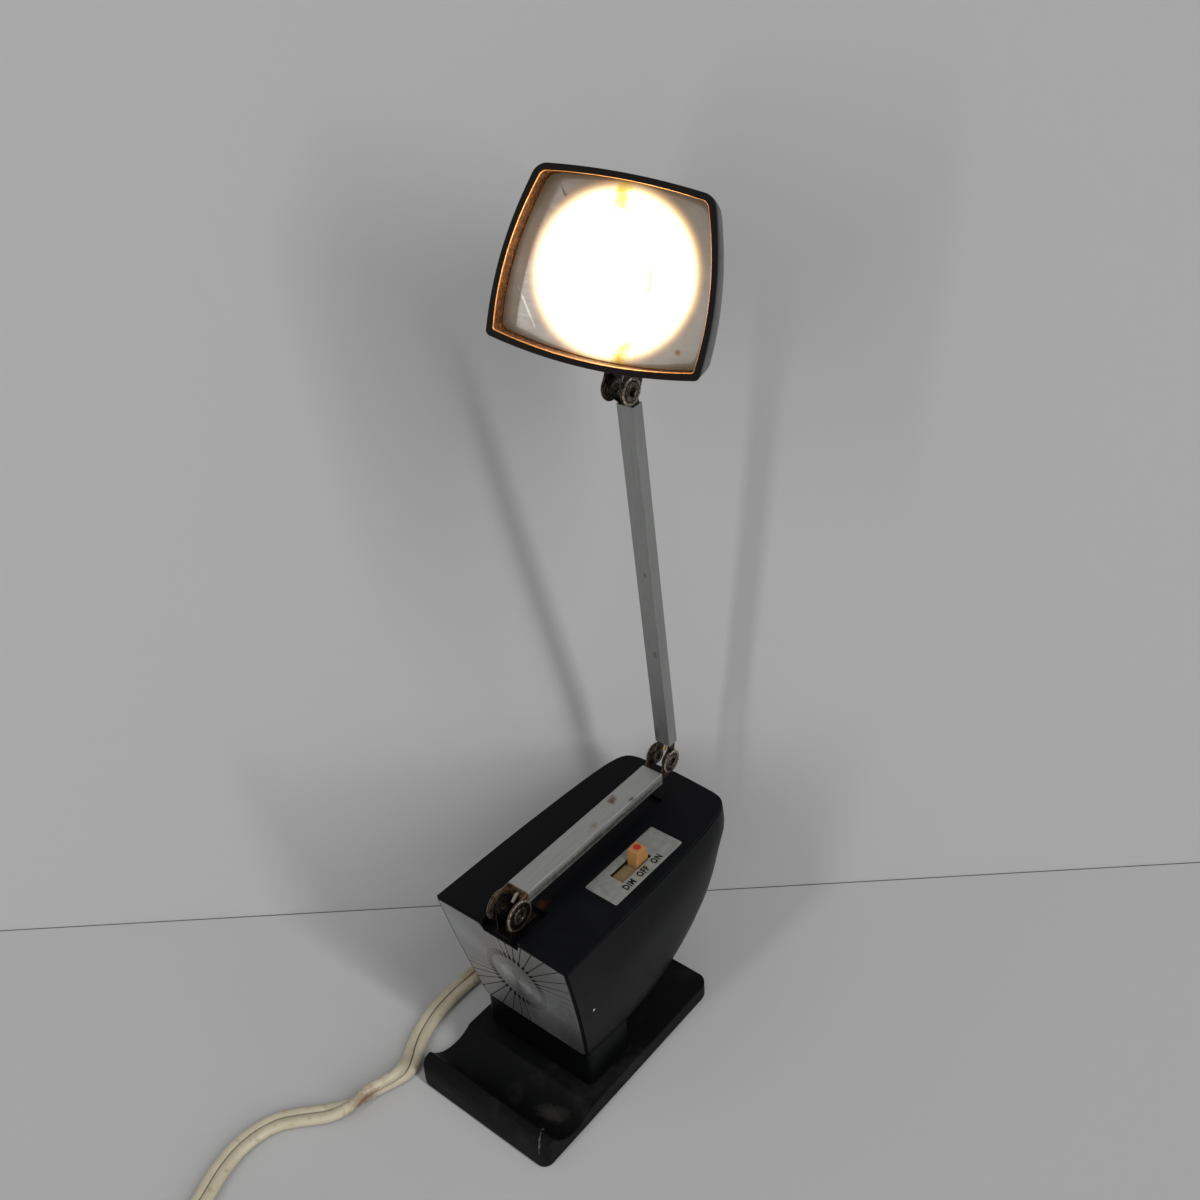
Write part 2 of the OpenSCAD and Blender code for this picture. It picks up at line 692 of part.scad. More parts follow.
module swivel_rivet() color("#8d7a58") at_head() translate([0, swivel_y, 0]) difference() {
    head_z = shade_low + shade_wall + 3 * gap;
    union() {
        translate([0, 0, web_z - sheet_t]) cylinder(r = 3.2, h = sheet_t);
        translate([0, 0, web_z - sheet_t]) cylinder(r = pin_r, h = head_z - web_z + 2 * sheet_t);
        translate([0, 0, head_z]) cylinder(r = 3.4, h = sheet_t);
    }
    cylinder(r = 1.2, h = 20);
}

module swivel_washer() color("#5f4a36") at_head() translate([0, swivel_y, web_z + sheet_t]) difference() {
    cylinder(r = 4.2, h = shade_low - web_z - sheet_t - 0.1);
    translate([0, 0, -1]) cylinder(r = pin_r + gap, h = 5);
}

// The shade's section at a depth behind the rim, set in by t
function round_off(u, n) = pow(max(0, 1 - pow(clamp01(u), n)), 1 / n);

// Four edges that bow outwards. The low corners are nearly sharp at the rim, and all grow rounder
// towards the back. The low edge keeps its height further back than the others.
edge_steps = [0, 0.3, 0.6, 0.85];

function shade_section(d, t) =
    let (end = shade_d + 0.4 - t, g = round_off(d / end, 2.3), lowg = round_off((d - 27) / (end - 27), 2.4),
        back = clamp01(d / shade_d),
        rise = (shade_low - rim_low_z) * (1 - pow(1 - clamp01(d / low_rise_d), 2)),
        wb = rim_low_w / 2 * g - t, wt = rim_top_w / 2 * g - t,
        z0 = shade_mid_z - (shade_mid_z - corner_z - rise - t) * lowg,
        z1 = shade_mid_z + (corner_z + rim_h - shade_mid_z - t) * g,
        rb = min(1 - t * 0.3 + 6 * pow(back, 1.3), (z1 - z0) * 0.45),
        rt = min(3 - t * 0.8 + 7 * pow(back, 1.5), wt * 0.9, (z1 - z0) * 0.45),
        xb = wb - rb, xt = wt - rt,
        half = concat(
            [for (k = edge_steps) [xb * k, z0]],
            [for (i = [0:6]) let (a = -90 + i * 97 / 6) [xb + rb * cos(a), z0 + rb + rb * sin(a)]],
            [for (k = [0.25, 0.5, 0.75]) [wb + (wt - wb) * k, z0 + rb + (z1 - z0 - rb - rt) * k]],
            [for (i = [0:6]) let (a = 7 + i * 83 / 6) [xt + rt * cos(a), z1 - rt + rt * sin(a)]],
            [for (k = [3:-1:0]) [xt * edge_steps[k], z1]]))
    [for (q = concat([for (i = [1:len(half) - 1]) half[i]],
        [for (i = [len(half) - 2:-1:0]) [-half[i][0], half[i][1]]]))
        let (v = (q[1] - z0) / (z1 - z0), w = wb + (wt - wb) * v, u = 1 - pow(q[0] / w, 2))
        [q[0] * (1 + 4 * v * (1 - v) * side_bow * g / w),
            q[1] + (top_bow * g * v - low_bow * lowg * (1 - v)) * u]];

function shade_ring(d, t) = let (s = shade_section(d, t), n = len(s))
    [for (i = [n - 1:-1:0]) [s[i][0], d - rim_ahead, s[i][1]]];

module shade_skin(t, d0, d1) {
    steps = [0, 0.03, 0.1, 0.2, 0.3, 0.4, 0.5, 0.6, 0.7, 0.79, 0.87, 0.93, 0.97, 1];
    loft([for (s = steps) shade_ring(d0 + (d1 - d0) * s, t)]);
}

module shade() color("#101113") at_shade() difference() {
    shade_skin(0, 0, shade_d - shade_back);
    shade_skin(shade_wall, -0.5, shade_d - shade_back - shade_wall);
    translate([0, 0, 5]) cylinder(r = pin_r + gap, h = 10);
    translate([0, 10, dish_z]) rotate([-90, 0, 0]) cylinder(r = screw_r + 0.2, h = 30);
}

// Flat plate with a round dish pressed into it
module reflector() {
    ball_r = (dish_r * dish_r + dish_depth * dish_depth) / (2 * dish_depth);
    y = plate_depth - rim_ahead;
    color("#d5d5d2") at_shade() difference() {
        union() {
            translate([0, y + 0.5, 0]) rotate([90, 0, 0]) linear_extrude(0.5)
                polygon(shade_section(plate_depth + 0.5, shade_wall + 0.15));
            intersection() {
                translate([0, y + dish_depth - ball_r, dish_z]) sphere(ball_r + 0.5, $fn = 128);
                block([-40, y, -10], [40, y + 30, 80]);
            }
        }
        intersection() {
            translate([0, y + dish_depth - ball_r, dish_z]) sphere(ball_r, $fn = 128);
            block([-40, y - 1, -10], [40, y + 30, 80]);
        }
        translate([0, y - 1, dish_z]) rotate([-90, 0, 0]) cylinder(r = 8.2, h = 30);
        // Short slots at the top and the bottom of the dish
        for (s = [-1, 1]) translate([0, y + 4, dish_z + s * 15.5]) cube([2, 20, 5], center = true);
    }
}

module bulb_glass() color("#f6e3b4") at_shade() translate([0, bulb_depth - rim_ahead, dish_z]) difference() {
    union() {
        sphere(bulb_r);
        rotate([-90, 0, 0]) cylinder(r = 6.6, h = 12);
    }
    sphere(bulb_r - 0.7);
    rotate([-90, 0, 0]) cylinder(r = 5.9, h = 11.3);
}

module bulb_base() color("#b79a55") at_shade() translate([0, bulb_depth - rim_ahead, dish_z]) {
    difference() {
        translate([0, 9.6, 0]) rotate([-90, 0, 0]) cylinder(r = 7.5, h = 13);
        translate([0, 8, 0]) rotate([-90, 0, 0]) cylinder(r = 6.65, h = 13.4);
    }
    translate([0, 22.6, 0]) rotate([-90, 0, 0]) cylinder(r = 2, h = 1);
}

module bulb_socket() color("#9a9c9b") at_shade() translate([0, bulb_depth - rim_ahead, dish_z]) difference() {
    translate([0, 9.1, 0]) rotate([-90, 0, 0]) union() {
        cylinder(r = 8.1, h = 16.5);
        translate([0, 0, 1.2]) cylinder(r = 9.6, h = 0.8);
    }
    translate([0, 9, 0]) rotate([-90, 0, 0]) cylinder(r = 7.6, h = 14.6);
}

module socket_stem() color("#8f9294") at_shade() translate([0, socket_rear, dish_z]) rotate([-90, 0, 0])
    difference() {
        cylinder(r = 2.8, h = shade_d - shade_back - shade_wall - rim_ahead - socket_rear);
        translate([0, 0, 1]) cylinder(r = screw_r + gap, h = 8);
    }

module stem_screw() color("#3a3b3d") at_shade() translate([0, 0, dish_z]) rotate([-90, 0, 0]) {
    translate([0, 0, shade_d - rim_ahead - 6]) cylinder(r = screw_r, h = 6);
    translate([0, 0, shade_d - rim_ahead - shade_back]) cylinder(r = 2.8, h = 1.6);
}

// Flex, coil and plug

// Ring of a flat flex: middle, way ahead, roll, and the points of its section
function flex_ring(p, ahead, roll, sec) =
    let (side = unit(cross([0, 0, 1], ahead)), up = cross(ahead, side), c = cos(roll), s = -sin(roll))
    [for (q = sec) p + side * (q[0] * c - q[1] * s) + up * (q[0] * s + q[1] * c)];

flex_section8 = [for (q = [[-1, -0.45], [-0.72, -1], [0.72, -1], [1, -0.45],
    [1, 0.45], [0.72, 1], [-0.72, 1], [-1, 0.45]]) [q[0] * flex_w / 2, q[1] * flex_t / 2]];
flex_section6 = [for (q = [[-1, 0], [-0.7, -1], [0.7, -1], [1, 0], [0.7, 1], [-0.7, 1]])
    [q[0] * flex_w / 2, q[1] * flex_t / 2]];

function at(p) = [p[0], p[1], p[2]];

// Smooth stretch between points i and i+1 of the path
function path_mid(p, i, t) =
    let (n = len(p) - 1, a = p[max(0, i - 1)], b = p[i], c = p[min(n, i + 1)], d = p[min(n, i + 2)])
    0.5 * (2 * b + (c - a) * t + (2 * a - 5 * b + 4 * c - d) * t * t + (3 * b - a - 3 * c + d) * t * t * t);

fine_path = [for (i = [0:len(flex_path) - 2], t = [0, 0.5]) path_mid(flex_path, i, t)];
free_points = concat(fine_path, [flex_path[len(flex_path) - 1]]);

function run_length(p, i = 0) = i >= len(p) - 1 ? 0 : norm(at(p[i + 1]) - at(p[i])) + run_length(p, i + 1);

module cord_free() color("#e6dcc0") {
    n = len(free_points);
    loft([for (i = [0:n - 1])
        let (ahead = i == 0 ? [0, 1, 0] : i == n - 1 ? [0, -1, 0]
            : unit(at(free_points[i + 1]) - at(free_points[i - 1])))
        flex_ring(at(free_points[i]), ahead, free_points[i][3], flex_section8)]);
}

// Middle of the coil after a turn count; it starts on the -X side and winds anticlockwise.
// Round the turn where the spiral reverses it dips inwards and climbs to the second layer.
coil_total = 2 * coil_turns + 0.5;
coil_mid = coil_total / 2;
coil_climb = 0.125;
coil_dip = 1.6;
function coil_radius(u) = let (s = abs(u - coil_mid))
    s < 0.25 ? coil_r1 - coil_pitch * coil_mid - coil_dip + (coil_dip + 0.25 * coil_pitch) * pow(s / 0.25, 2)
    : coil_r1 - coil_pitch * (coil_mid - s);
function coil_height(u) = coil_z + coil_layer * clamp01(0.5 + (u - coil_mid) / (2 * coil_climb));
// The last quarter turn swings out, so that the plug lies beside the coil
function coil_point(u) = let (a = 180 + 360 * u, out = clamp01(4 * (u - coil_total + 0.25)),
    r = coil_radius(u) + coil_swing * (1 - cos(180 * out)) / 2)
    [coil_c[0] + r * cos(a), coil_c[1] + r * sin(a), coil_height(u)];

coil_n = coil_total * coil_rings;
coil_line = concat([for (i = [0:coil_n]) coil_point(i / coil_rings)],
    [coil_point(coil_total) + [0, coil_end, 0]]);

// Least gap between turns: neighbours of one layer lie side by side, layers one over the other
function turn_gap(i, j) = let (d = coil_line[j] - coil_line[i], flat = norm([d[0], d[1]]), high = abs(d[2]))
    max(flat - flex_w, high - flex_t);
coil_least_gap = min([for (i = [0:coil_n - 12], j = [i + 12:coil_n]) turn_gap(i, j)]);
echo(coil_least_gap_mm = coil_least_gap);
echo(cord_free_mm = run_length(free_points), cord_coil_mm = run_length(coil_line));

module cord_coil() color("#e6dcc0") {
    n = len(coil_line);
    loft([for (i = [0:n - 1])
        let (ahead = i == 0 ? [0, -1, 0] : i >= n - 2 ? [0, 1, 0]
            : unit(coil_line[i + 1] - coil_line[i - 1]))
        flex_ring(coil_line[i], ahead, 0, flex_section6)]);
}

module cord_tie() color("#2b2b2b") {
    y0 = coil_c[1] + coil_radius(coil_mid) - flex_w / 2 - 0.8;
    y1 = coil_c[1] + coil_r1 - coil_pitch * 0.75 + flex_w / 2 + 0.8;
    z0 = coil_z - flex_t / 2 - 0.2;
    z1 = coil_z + coil_layer + flex_t / 2 + 0.2;
    difference() {
        block([coil_c[0] - tie_w / 2, y0 - tie_t, z0 - tie_t],
            [coil_c[0] + tie_w / 2, y1 + tie_t, z1 + tie_t]);
        block([coil_c[0] - tie_w, y0, z0], [coil_c[0] + tie_w, y1, z1]);
    }
}

function signed_root(v) = sign(v) * sqrt(abs(v));

module strain_relief() color("#d9cfb4") translate([relief_x, 0, relief_z]) rotate([-90, 0, 0]) {
    translate([0, 0, neck_rear - wall - 1]) linear_extrude(1) round_rect(11, 8, 2.6);
    translate([0, 0, neck_rear - wall]) linear_extrude(wall) round_rect(9, 6, 2.4);
    loft([for (k = [0, 0.5, 1]) [for (a = [0:15:345])
        [(5.3 - 1.2 * k) * signed_root(cos(a)), (3.5 - 1.1 * k) * signed_root(sin(a)),
            neck_rear + relief_len * k]]]);
}

module at_plug() translate(coil_line[len(coil_line) - 1]) children();

module plug_body() color("#e0d6ba") at_plug() rotate([-90, 0, 0]) {
    linear_extrude(8) round_rect(plug_w * 0.7, plug_h - 1.6, 3);
    translate([0, 0, 8]) linear_extrude(plug_l - 8) round_rect(plug_w, plug_h, 3);
}

module plug_blades() color("#c8a95a") at_plug() for (s = [-1, 1])
    block([(s * blade_gap - blade_t) / 2, plug_l, -blade_h / 2],
        [(s * blade_gap + blade_t) / 2, plug_l + blade_l, blade_h / 2]);

base_shell();
base_weight();
base_pad();
base_screws();
housing();
top_cover();
cover_screws();
front_panel();
transformer_core();
transformer_winding();
transformer_strap();
transformer_screws();
switch_body();
switch_screws();
switch_plate();
switch_knob();
knob_dot();
internal_leads();
shoulder_bracket();
bracket_rivets();
shoulder_eyelets();
shoulder_washers();
shoulder_discs();
lower_arm();
lower_arm_front_clevis();
lower_arm_rear_clevis();
shoulder_wire();
elbow_eyelets();
elbow_washers();
elbow_discs();
upper_arm();
upper_arm_low_clevis();
upper_arm_top_clevis();
elbow_wire();
head_wire();
head_bracket();
head_eyelets();
head_washers();
head_discs();
swivel_rivet();
swivel_washer();
shade();
reflector();
bulb_glass();
bulb_base();
bulb_socket();
socket_stem();
stem_screw();
strain_relief();
cord_free();
cord_coil();
cord_tie();
plug_body();
plug_blades();
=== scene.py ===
# %% [markdown]
# # A folding desk lamp, dressed around its CAD frame
# The lamp is a small "high intensity" light of the 1960s or 1970s: a black moulded body on a weighted base, two
# aluminium arms, and a black shade with a silver dish and a lit bulb. The CAD model carries the sizes and joints.
# This lesson adds what a camera sees: rounded edges, finishes, the flex, the dish and the light. It starts by
# loading the frame. No piece may grow the lamp.

# %% Load the frame
import json
import math
import bmesh
import bpy
import numpy as np
from mathutils import Matrix, Vector


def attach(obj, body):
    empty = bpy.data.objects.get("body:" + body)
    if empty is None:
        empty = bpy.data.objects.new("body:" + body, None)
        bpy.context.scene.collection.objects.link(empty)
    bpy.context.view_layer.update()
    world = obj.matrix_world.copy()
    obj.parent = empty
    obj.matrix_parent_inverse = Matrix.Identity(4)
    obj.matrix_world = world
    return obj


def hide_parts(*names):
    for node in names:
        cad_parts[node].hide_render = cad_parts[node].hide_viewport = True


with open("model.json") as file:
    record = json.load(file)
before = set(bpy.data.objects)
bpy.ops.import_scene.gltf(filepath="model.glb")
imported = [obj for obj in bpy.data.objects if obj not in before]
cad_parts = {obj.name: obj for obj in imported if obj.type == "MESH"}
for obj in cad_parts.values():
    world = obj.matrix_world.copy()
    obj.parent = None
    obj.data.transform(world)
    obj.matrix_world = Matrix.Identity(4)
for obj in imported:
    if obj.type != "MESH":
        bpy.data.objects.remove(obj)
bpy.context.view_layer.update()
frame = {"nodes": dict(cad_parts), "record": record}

MM = 0.001
NODES = frame["nodes"]
BODY_OF = {node: body for body, group in frame["record"]["behaviour"]["bodies"].items() for node in group}

# %% [markdown]
# The camera comes first, because every later choice is judged through it. It was found by matching the corners of
# the base, the body and the arms, and stands close: a phone held over the table, turned a few degrees. A camera
# looks along its own -Z, so its axes are the picture's right, the picture's up and the way back.

# %% Camera
AZIMUTH, ELEVATION, ROLL = (math.radians(a) for a in (41.6, 32.6, -4.2))
FOCAL_PX, PICTURE_PX, SENSOR_MM = 1305.13, 1200, 36
EYE = Vector((0.2250, -0.2204, 0.3861))
forward = Vector((-math.sin(AZIMUTH) * math.cos(ELEVATION), math.cos(AZIMUTH) * math.cos(ELEVATION),
                  -math.sin(ELEVATION)))
level = Vector((math.cos(AZIMUTH), math.sin(AZIMUTH), 0))
upright = level.cross(forward)
right = math.cos(ROLL) * level + math.sin(ROLL) * upright
up = math.cos(ROLL) * upright - math.sin(ROLL) * level

camera = bpy.data.objects.new("camera", bpy.data.cameras.new("camera"))
bpy.context.scene.collection.objects.link(camera)
camera.data.sensor_width = SENSOR_MM
camera.data.lens = FOCAL_PX / PICTURE_PX * SENSOR_MM
camera.data.clip_start, camera.data.clip_end = 0.01, 20
turned = Matrix((right, up, -forward)).transposed().to_4x4()
camera.matrix_world = Matrix.Translation(EYE) @ turned
bpy.context.scene.camera = camera
print("camera", [round(v, 4) for v in EYE], "lens", round(camera.data.lens, 2), "mm")

# %% [markdown]
# Materials are built from a few nodes. One function adds a node with its settings and links, and one turns the hex
# colours of a paint chart into the linear numbers that a renderer wants. Four more are patterns that real finishes
# share: clouds of two tones, spots, fine grain, and a mark such as a stain or a scratch at a place in millimetres. A
# noise texture's scale is its number of features in a metre.

# %% Helpers for materials
def linear(code):
    """sRGB hex such as '#c8c8c8' as linear RGBA."""
    values = [int(code[i:i + 2], 16) / 255 for i in (1, 3, 5)]
    return tuple(v / 12.92 if v <= 0.04045 else ((v + 0.055) / 1.055) ** 2.4 for v in values) + (1.0,)


def per_metre(size_mm):
    """Texture scale of a pattern with features of that size."""
    return 1000 / size_mm


def node(material, kind, inputs=(), **settings):
    """Adds a shader node with its settings. A socket among the inputs is linked, and a node by its first output in
    use. A hex colour is turned linear and set, and any other value is set as it is."""
    made = material.node_tree.nodes.new("ShaderNode" + kind)
    for name, value in settings.items():
        setattr(made, name, value)
    for name, value in dict(inputs).items():
        if isinstance(value, bpy.types.Node):
            value = next(output for output in value.outputs if output.enabled)
        if isinstance(value, bpy.types.NodeSocket):
            material.node_tree.links.new(value, made.inputs[name])
        else:
            made.inputs[name].default_value = linear(value) if isinstance(value, str) else value
    return made


def blank(name):
    """New material without nodes."""
    material = bpy.data.materials.new(name)
    material.use_nodes = True
    material.node_tree.nodes.clear()
    return material


def finished(m, shader):
    """Leads a shader to the material's output."""
    node(m, "OutputMaterial", {"Surface": shader})
    return m


def clouded(m, where, low, high, size_mm, detail):
    """Two tones mixed by a soft noise of that size."""
    share = node(m, "TexNoise", {"Vector": where, "Scale": per_metre(size_mm), "Detail": detail})
    return node(m, "Mix", {0: share, 6: low, 7: high}, data_type="RGBA")


def spotted(m, where, tone, colour, size_mm, detail, low, high, most=1.0, rough=0.5):
    """Colour with spots of another: none where a noise is under low, and the most where it is over high."""
    noise = node(m, "TexNoise", {"Vector": where, "Scale": per_metre(size_mm), "Detail": detail, "Roughness": rough})
    share = node(m, "MapRange", {"Value": noise, "From Min": low, "From Max": high, "To Max": most})
    return node(m, "Mix", {0: share, 6: tone, 7: colour}, data_type="RGBA")


def fine_grain(m, where, size_mm, detail, depth_mm):
    """Bumps of that size and depth all over a surface."""
    noise = node(m, "TexNoise", {"Vector": where, "Scale": per_metre(size_mm), "Detail": detail})
    return node(m, "Bump", {"Height": noise, "Distance": depth_mm * MM})


def mark(m, where, centre_mm, half_mm, turn_deg=(0, 0, 0)):
    """Share of one mark: 1 inside an ellipsoid of those half sizes, fading raggedly to 0 at its edge."""
    local = node(m, "Mapping", {"Vector": where, "Location": [v * MM for v in centre_mm],
                                "Rotation": [math.radians(a) for a in turn_deg],
                                "Scale": [v * MM for v in half_mm]}, vector_type="TEXTURE")
    reach = node(m, "VectorMath", {0: local}, operation="LENGTH")
    ragged = node(m, "TexNoise", {"Vector": where, "Scale": per_metre(1.5), "Detail": 4.0})
    edge = node(m, "Math", {0: ragged, 1: 0.9, 2: reach}, operation="MULTIPLY_ADD")
    return node(m, "MapRange", {"Value": edge, "From Min": 0.7, "From Max": 1.35, "To Min": 1.0, "To Max": 0.0})


def with_marks(m, where, tone, marks):
    """Colour with its marks laid over it in turn: each is a colour, a strength, and where it lies."""
    for colour, strength, *place in marks:
        share = node(m, "Math", {0: mark(m, where, *place), 1: strength}, operation="MULTIPLY")
        tone = node(m, "Mix", {0: share, 6: tone, 7: colour}, data_type="RGBA")
    return tone

# %% [markdown]
# New pieces are grids of points worked out with numpy. A grid has rows and columns; a face joins each point to its
# neighbours. A closed piece gets its end rings filled and its normals recalculated, so that they point outwards.

# %% Helpers for meshes
def grid_faces(rows, columns, close_rows=False):
    """Corner numbers of the faces between the rows and columns of a grid; each row is a closed ring."""
    r = np.arange(rows if close_rows else rows - 1)[:, None]
    c = np.arange(columns)[None, :]
    r1, c1 = (r + 1) % rows, (c + 1) % columns
    return np.stack([r * columns + c, r * columns + c1, r1 * columns + c1, r1 * columns + c], -1).reshape(-1, 4)


def end_caps(rows, columns):
    """The two faces that close a grid's first and last rows."""
    return [list(range(columns)), [(rows - 1) * columns + i for i in range(columns)]]


def reworked(mesh, *steps):
    """Edits a mesh in place by one step after another."""
    bm = bmesh.new()
    bm.from_mesh(mesh)
    for step in steps:
        step(bm)
    bm.to_mesh(mesh)
    bm.free()


def outwards(bm):
    """Turns every face to point outwards."""
    bmesh.ops.recalc_face_normals(bm, faces=bm.faces)


def smoothed(mesh, sharp_deg):
    """Smooth shading, except at edges sharper than the angle."""
    mesh.polygons.foreach_set("use_smooth", np.ones(len(mesh.polygons), bool))
    mesh.set_sharp_from_angle(angle=math.radians(sharp_deg))


def shown(name, thing, materials=()):
    """Object of a mesh or a lamp, in the scene, with those materials added to its mesh."""
    for material in materials:
        thing.materials.append(material)
    piece = bpy.data.objects.new(name, thing)
    bpy.context.scene.collection.objects.link(piece)
    return piece


def add_mesh(name, points_mm, faces, materials, body, face_material=None, sharp=40.0, solid=True):
    """Piece from points in mm and a list of faces, riding on a body."""
    mesh = bpy.data.meshes.new(name)
    mesh.from_pydata((np.asarray(points_mm) * MM).tolist(), [], [list(map(int, f)) for f in faces])
    piece = shown(name, mesh, materials)
    if face_material is not None:
        mesh.polygons.foreach_set("material_index", np.asarray(face_material, np.int32))
    if solid:
        reworked(mesh, outwards)
    smoothed(mesh, sharp)
    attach(piece, body)
    return piece


def dressed(name, material, bevel_mm=0.0, segments=2, sharp=35.0):
    """Copy of a CAD node with its doubles merged, its flat faces joined and its edges rounded."""
    mesh = NODES[name].data.copy()
    if "custom_normal" in mesh.attributes:
        mesh.attributes.remove(mesh.attributes["custom_normal"])
    reworked(mesh, lambda bm: bmesh.ops.remove_doubles(bm, verts=bm.verts, dist=0.002 * MM),
             lambda bm: bmesh.ops.dissolve_limit(bm, angle_limit=math.radians(0.5), verts=bm.verts, edges=bm.edges))
    mesh.materials.clear()
    mesh.polygons.foreach_set("material_index", np.zeros(len(mesh.polygons), np.int32))
    smoothed(mesh, sharp)
    piece = shown(name + "_finished", mesh, [material])
    if bevel_mm:
        edge = piece.modifiers.new("rounded edges", "BEVEL")
        edge.width, edge.segments, edge.use_clamp_overlap = bevel_mm * MM, segments, False
        edge.limit_method, edge.angle_limit = "ANGLE", math.radians(sharp)
        edge.harden_normals = True
    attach(piece, BODY_OF[name])
    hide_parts(name)
    return piece


def paint(name, material):
    """Finish of a CAD node that is shown as it is."""
    NODES[name].data.materials.clear()
    NODES[name].data.materials.append(material)


# %% [markdown]
# ## The flex
# The lamp has the flat two-core flex of its time: cream PVC, 7.2 mm wide and half as thick, with a groove between
# its cores. It could be a bezier curve with a bevel object, but a curve turns its section as it likes, and this flex
# lies flat in one place and on edge in another. So the section is carried along points with a roll at each.

# %% Flex finish
def extruded_pvc():
    """Cream PVC pushed through a die. The eye sees a soft gloss, a darker groove between the cores and one brown
    stain.
    """
    m = blank("pvc_extruded_cream")
    where = node(m, "TexCoord").outputs["Object"]
    groove = node(m, "Attribute", attribute_name="groove").outputs["Fac"]
    tone = clouded(m, where, "#a59c85", "#c6bda6", 9, 3.0)
    tone = spotted(m, where, tone, "#8a7859", 2.2, 6.0, 0.58, 0.78, 0.7)
    # The brown stain where it rolls over, painted shade with some grime where the flex runs behind the body, and a
    # faint stain beside the base
    tone = with_marks(m, where, tone, [("#6a4420", 0.85, (-36.5, -66.5, 5), (5, 8, 5)),
                                       ("#5f5745", 0.75, (-34, 22, 6), (26, 34, 14)),
                                       ("#7d6038", 0.5, (-47, -2, 3), (5, 9, 4))])
    # The groove between the cores is darkened
    groove_dark = node(m, "Math", {0: groove, 1: 0.85}, operation="MULTIPLY")
    tone = node(m, "Mix", {0: groove_dark, 6: tone, 7: "#3d3324"}, data_type="RGBA")
    relief = fine_grain(m, where, 1.2, 3.0, 0.05)
    skin = node(m, "BsdfPrincipled", {"Base Color": tone, "Roughness": 0.45, "Subsurface Weight": 0.06,
                                      "Subsurface Scale": 0.002, "Normal": relief})
    return finished(m, skin)


FLEX_FINISH = extruded_pvc()
print("made", FLEX_FINISH.name)

# %% Flex path
FLEX_W, FLEX_T, TABLE_GAP = 7.2, 3.6, 0.08
FREE = np.array([
    [-12, 26.2, 12.5, 0], [-12.2, 31, 12.2, 0], [-14.5, 36.5, 11.6, 0], [-19.5, 40.5, 10.8, 0],
    [-26, 41.5, 9.6, 0], [-32.5, 39.2, 7.8, 0], [-38, 34, 5.8, 0], [-42, 27, 4, 0],
    [-44.6, 18, 2.6, 0], [-46, 8, 2, 0], [-46.4, -3, 2, 0], [-46.6, -14, 2, 0],
    [-45.4, -25, 2, 0], [-41.6, -36, 2.2, 0], [-36.8, -44.5, 2.6, 20], [-34.9, -51, 4, 75],
    [-36.4, -57.5, 4.2, 95], [-38.3, -63.5, 4.2, 100], [-39.9, -69.5, 3.4, 140], [-44, -76, 2.4, 175],
    [-50.5, -82.5, 2, 180], [-55.6, -88.5, 2, 180], [-58.4, -96, 2, 180], [-58.8, -104.5, 2, 180],
    [-56.8, -113.5, 2, 180], [-53.2, -122.5, 2, 180], [-49.8, -132, 2, 180], [-47, -143, 2.2, 180],
    [-45.4, -155, 2.6, 180], [-45, -167, 2.9, 180]])
COIL_CENTRE, COIL_R, COIL_PITCH, COIL_TURNS = np.array([3, -167]), 48, 8, 5.5
COIL_LOW, COIL_STEP, COIL_DIP, COIL_SWING, COIL_END = 2.9, 4.2, 1.6, 8, 10


def smooth_run(points, steps):
    """Catmull-Rom curve through the points: a cubic between each pair, steps long."""
    padded = np.vstack([points[:1], points, points[-1:]])
    a, b, c, d = (padded[i:i + len(points) - 1, None, :] for i in range(4))
    t = (np.arange(steps) / steps)[None, :, None]
    curve = 0.5 * (2 * b + (c - a) * t + (2 * a - 5 * b + 4 * c - d) * t ** 2 + (3 * b - a - 3 * c + d) * t ** 3)
    return np.vstack([curve.reshape(-1, points.shape[1]), points[-1:]])


def coil_run(per_turn):
    """Two-layer coil: the radius shrinks by a pitch a turn to the middle, climbs a layer there and grows again."""
    u = np.arange(int(COIL_TURNS * per_turn) + 1) / per_turn
    middle = COIL_TURNS / 2
    s = np.abs(u - middle)
    inner = COIL_R - COIL_PITCH * middle
    radius = np.where(s < 0.25, inner - COIL_DIP + (COIL_DIP + 0.25 * COIL_PITCH) * (s / 0.25) ** 2,
                      COIL_R - COIL_PITCH * (middle - s))
    # The last quarter turn swings out towards the plug
    swing = np.clip(4 * (u - COIL_TURNS + 0.25), 0, 1)
    radius = radius + COIL_SWING * (1 - np.cos(np.pi * swing)) / 2
    angle = np.pi + 2 * np.pi * u
    height = COIL_LOW + COIL_STEP * np.clip(0.5 + (u - middle) / 0.25, 0, 1)
    return np.stack([COIL_CENTRE[0] + radius * np.cos(angle), COIL_CENTRE[1] + radius * np.sin(angle), height,
                     np.full(len(u), 180.0)], -1)


free_run = smooth_run(FREE, 6)
coiled_run = coil_run(72)
tail = coiled_run[-1] + np.outer([0.5, 1], [0, COIL_END, 0, 0])
flex_line = np.vstack([free_run, coiled_run[1:], tail])

# %% Flex mesh
def two_core_section():
    """Two cores side by side, nearly flat where they meet, with a narrow groove: x, y and share of groove."""
    r = FLEX_T / 2
    lobe = np.radians(np.linspace(-90, 90, 9))
    round_side = np.stack([r + r * np.cos(lobe), r * np.sin(lobe)], -1)
    inner = np.array([[0.45, 0.92 * r], [0.2, 0.8 * r]])
    right_core = np.vstack([inner[::-1] * [1, -1], round_side, inner])
    web = np.array([[0, 0.45 * r]])
    loop = np.vstack([right_core, web, -right_core, -web])
    groove = np.zeros(len(loop))
    groove[[0, 12, 14, 26]] = 0.3
    groove[[13, 27]] = 1
    return loop, groove


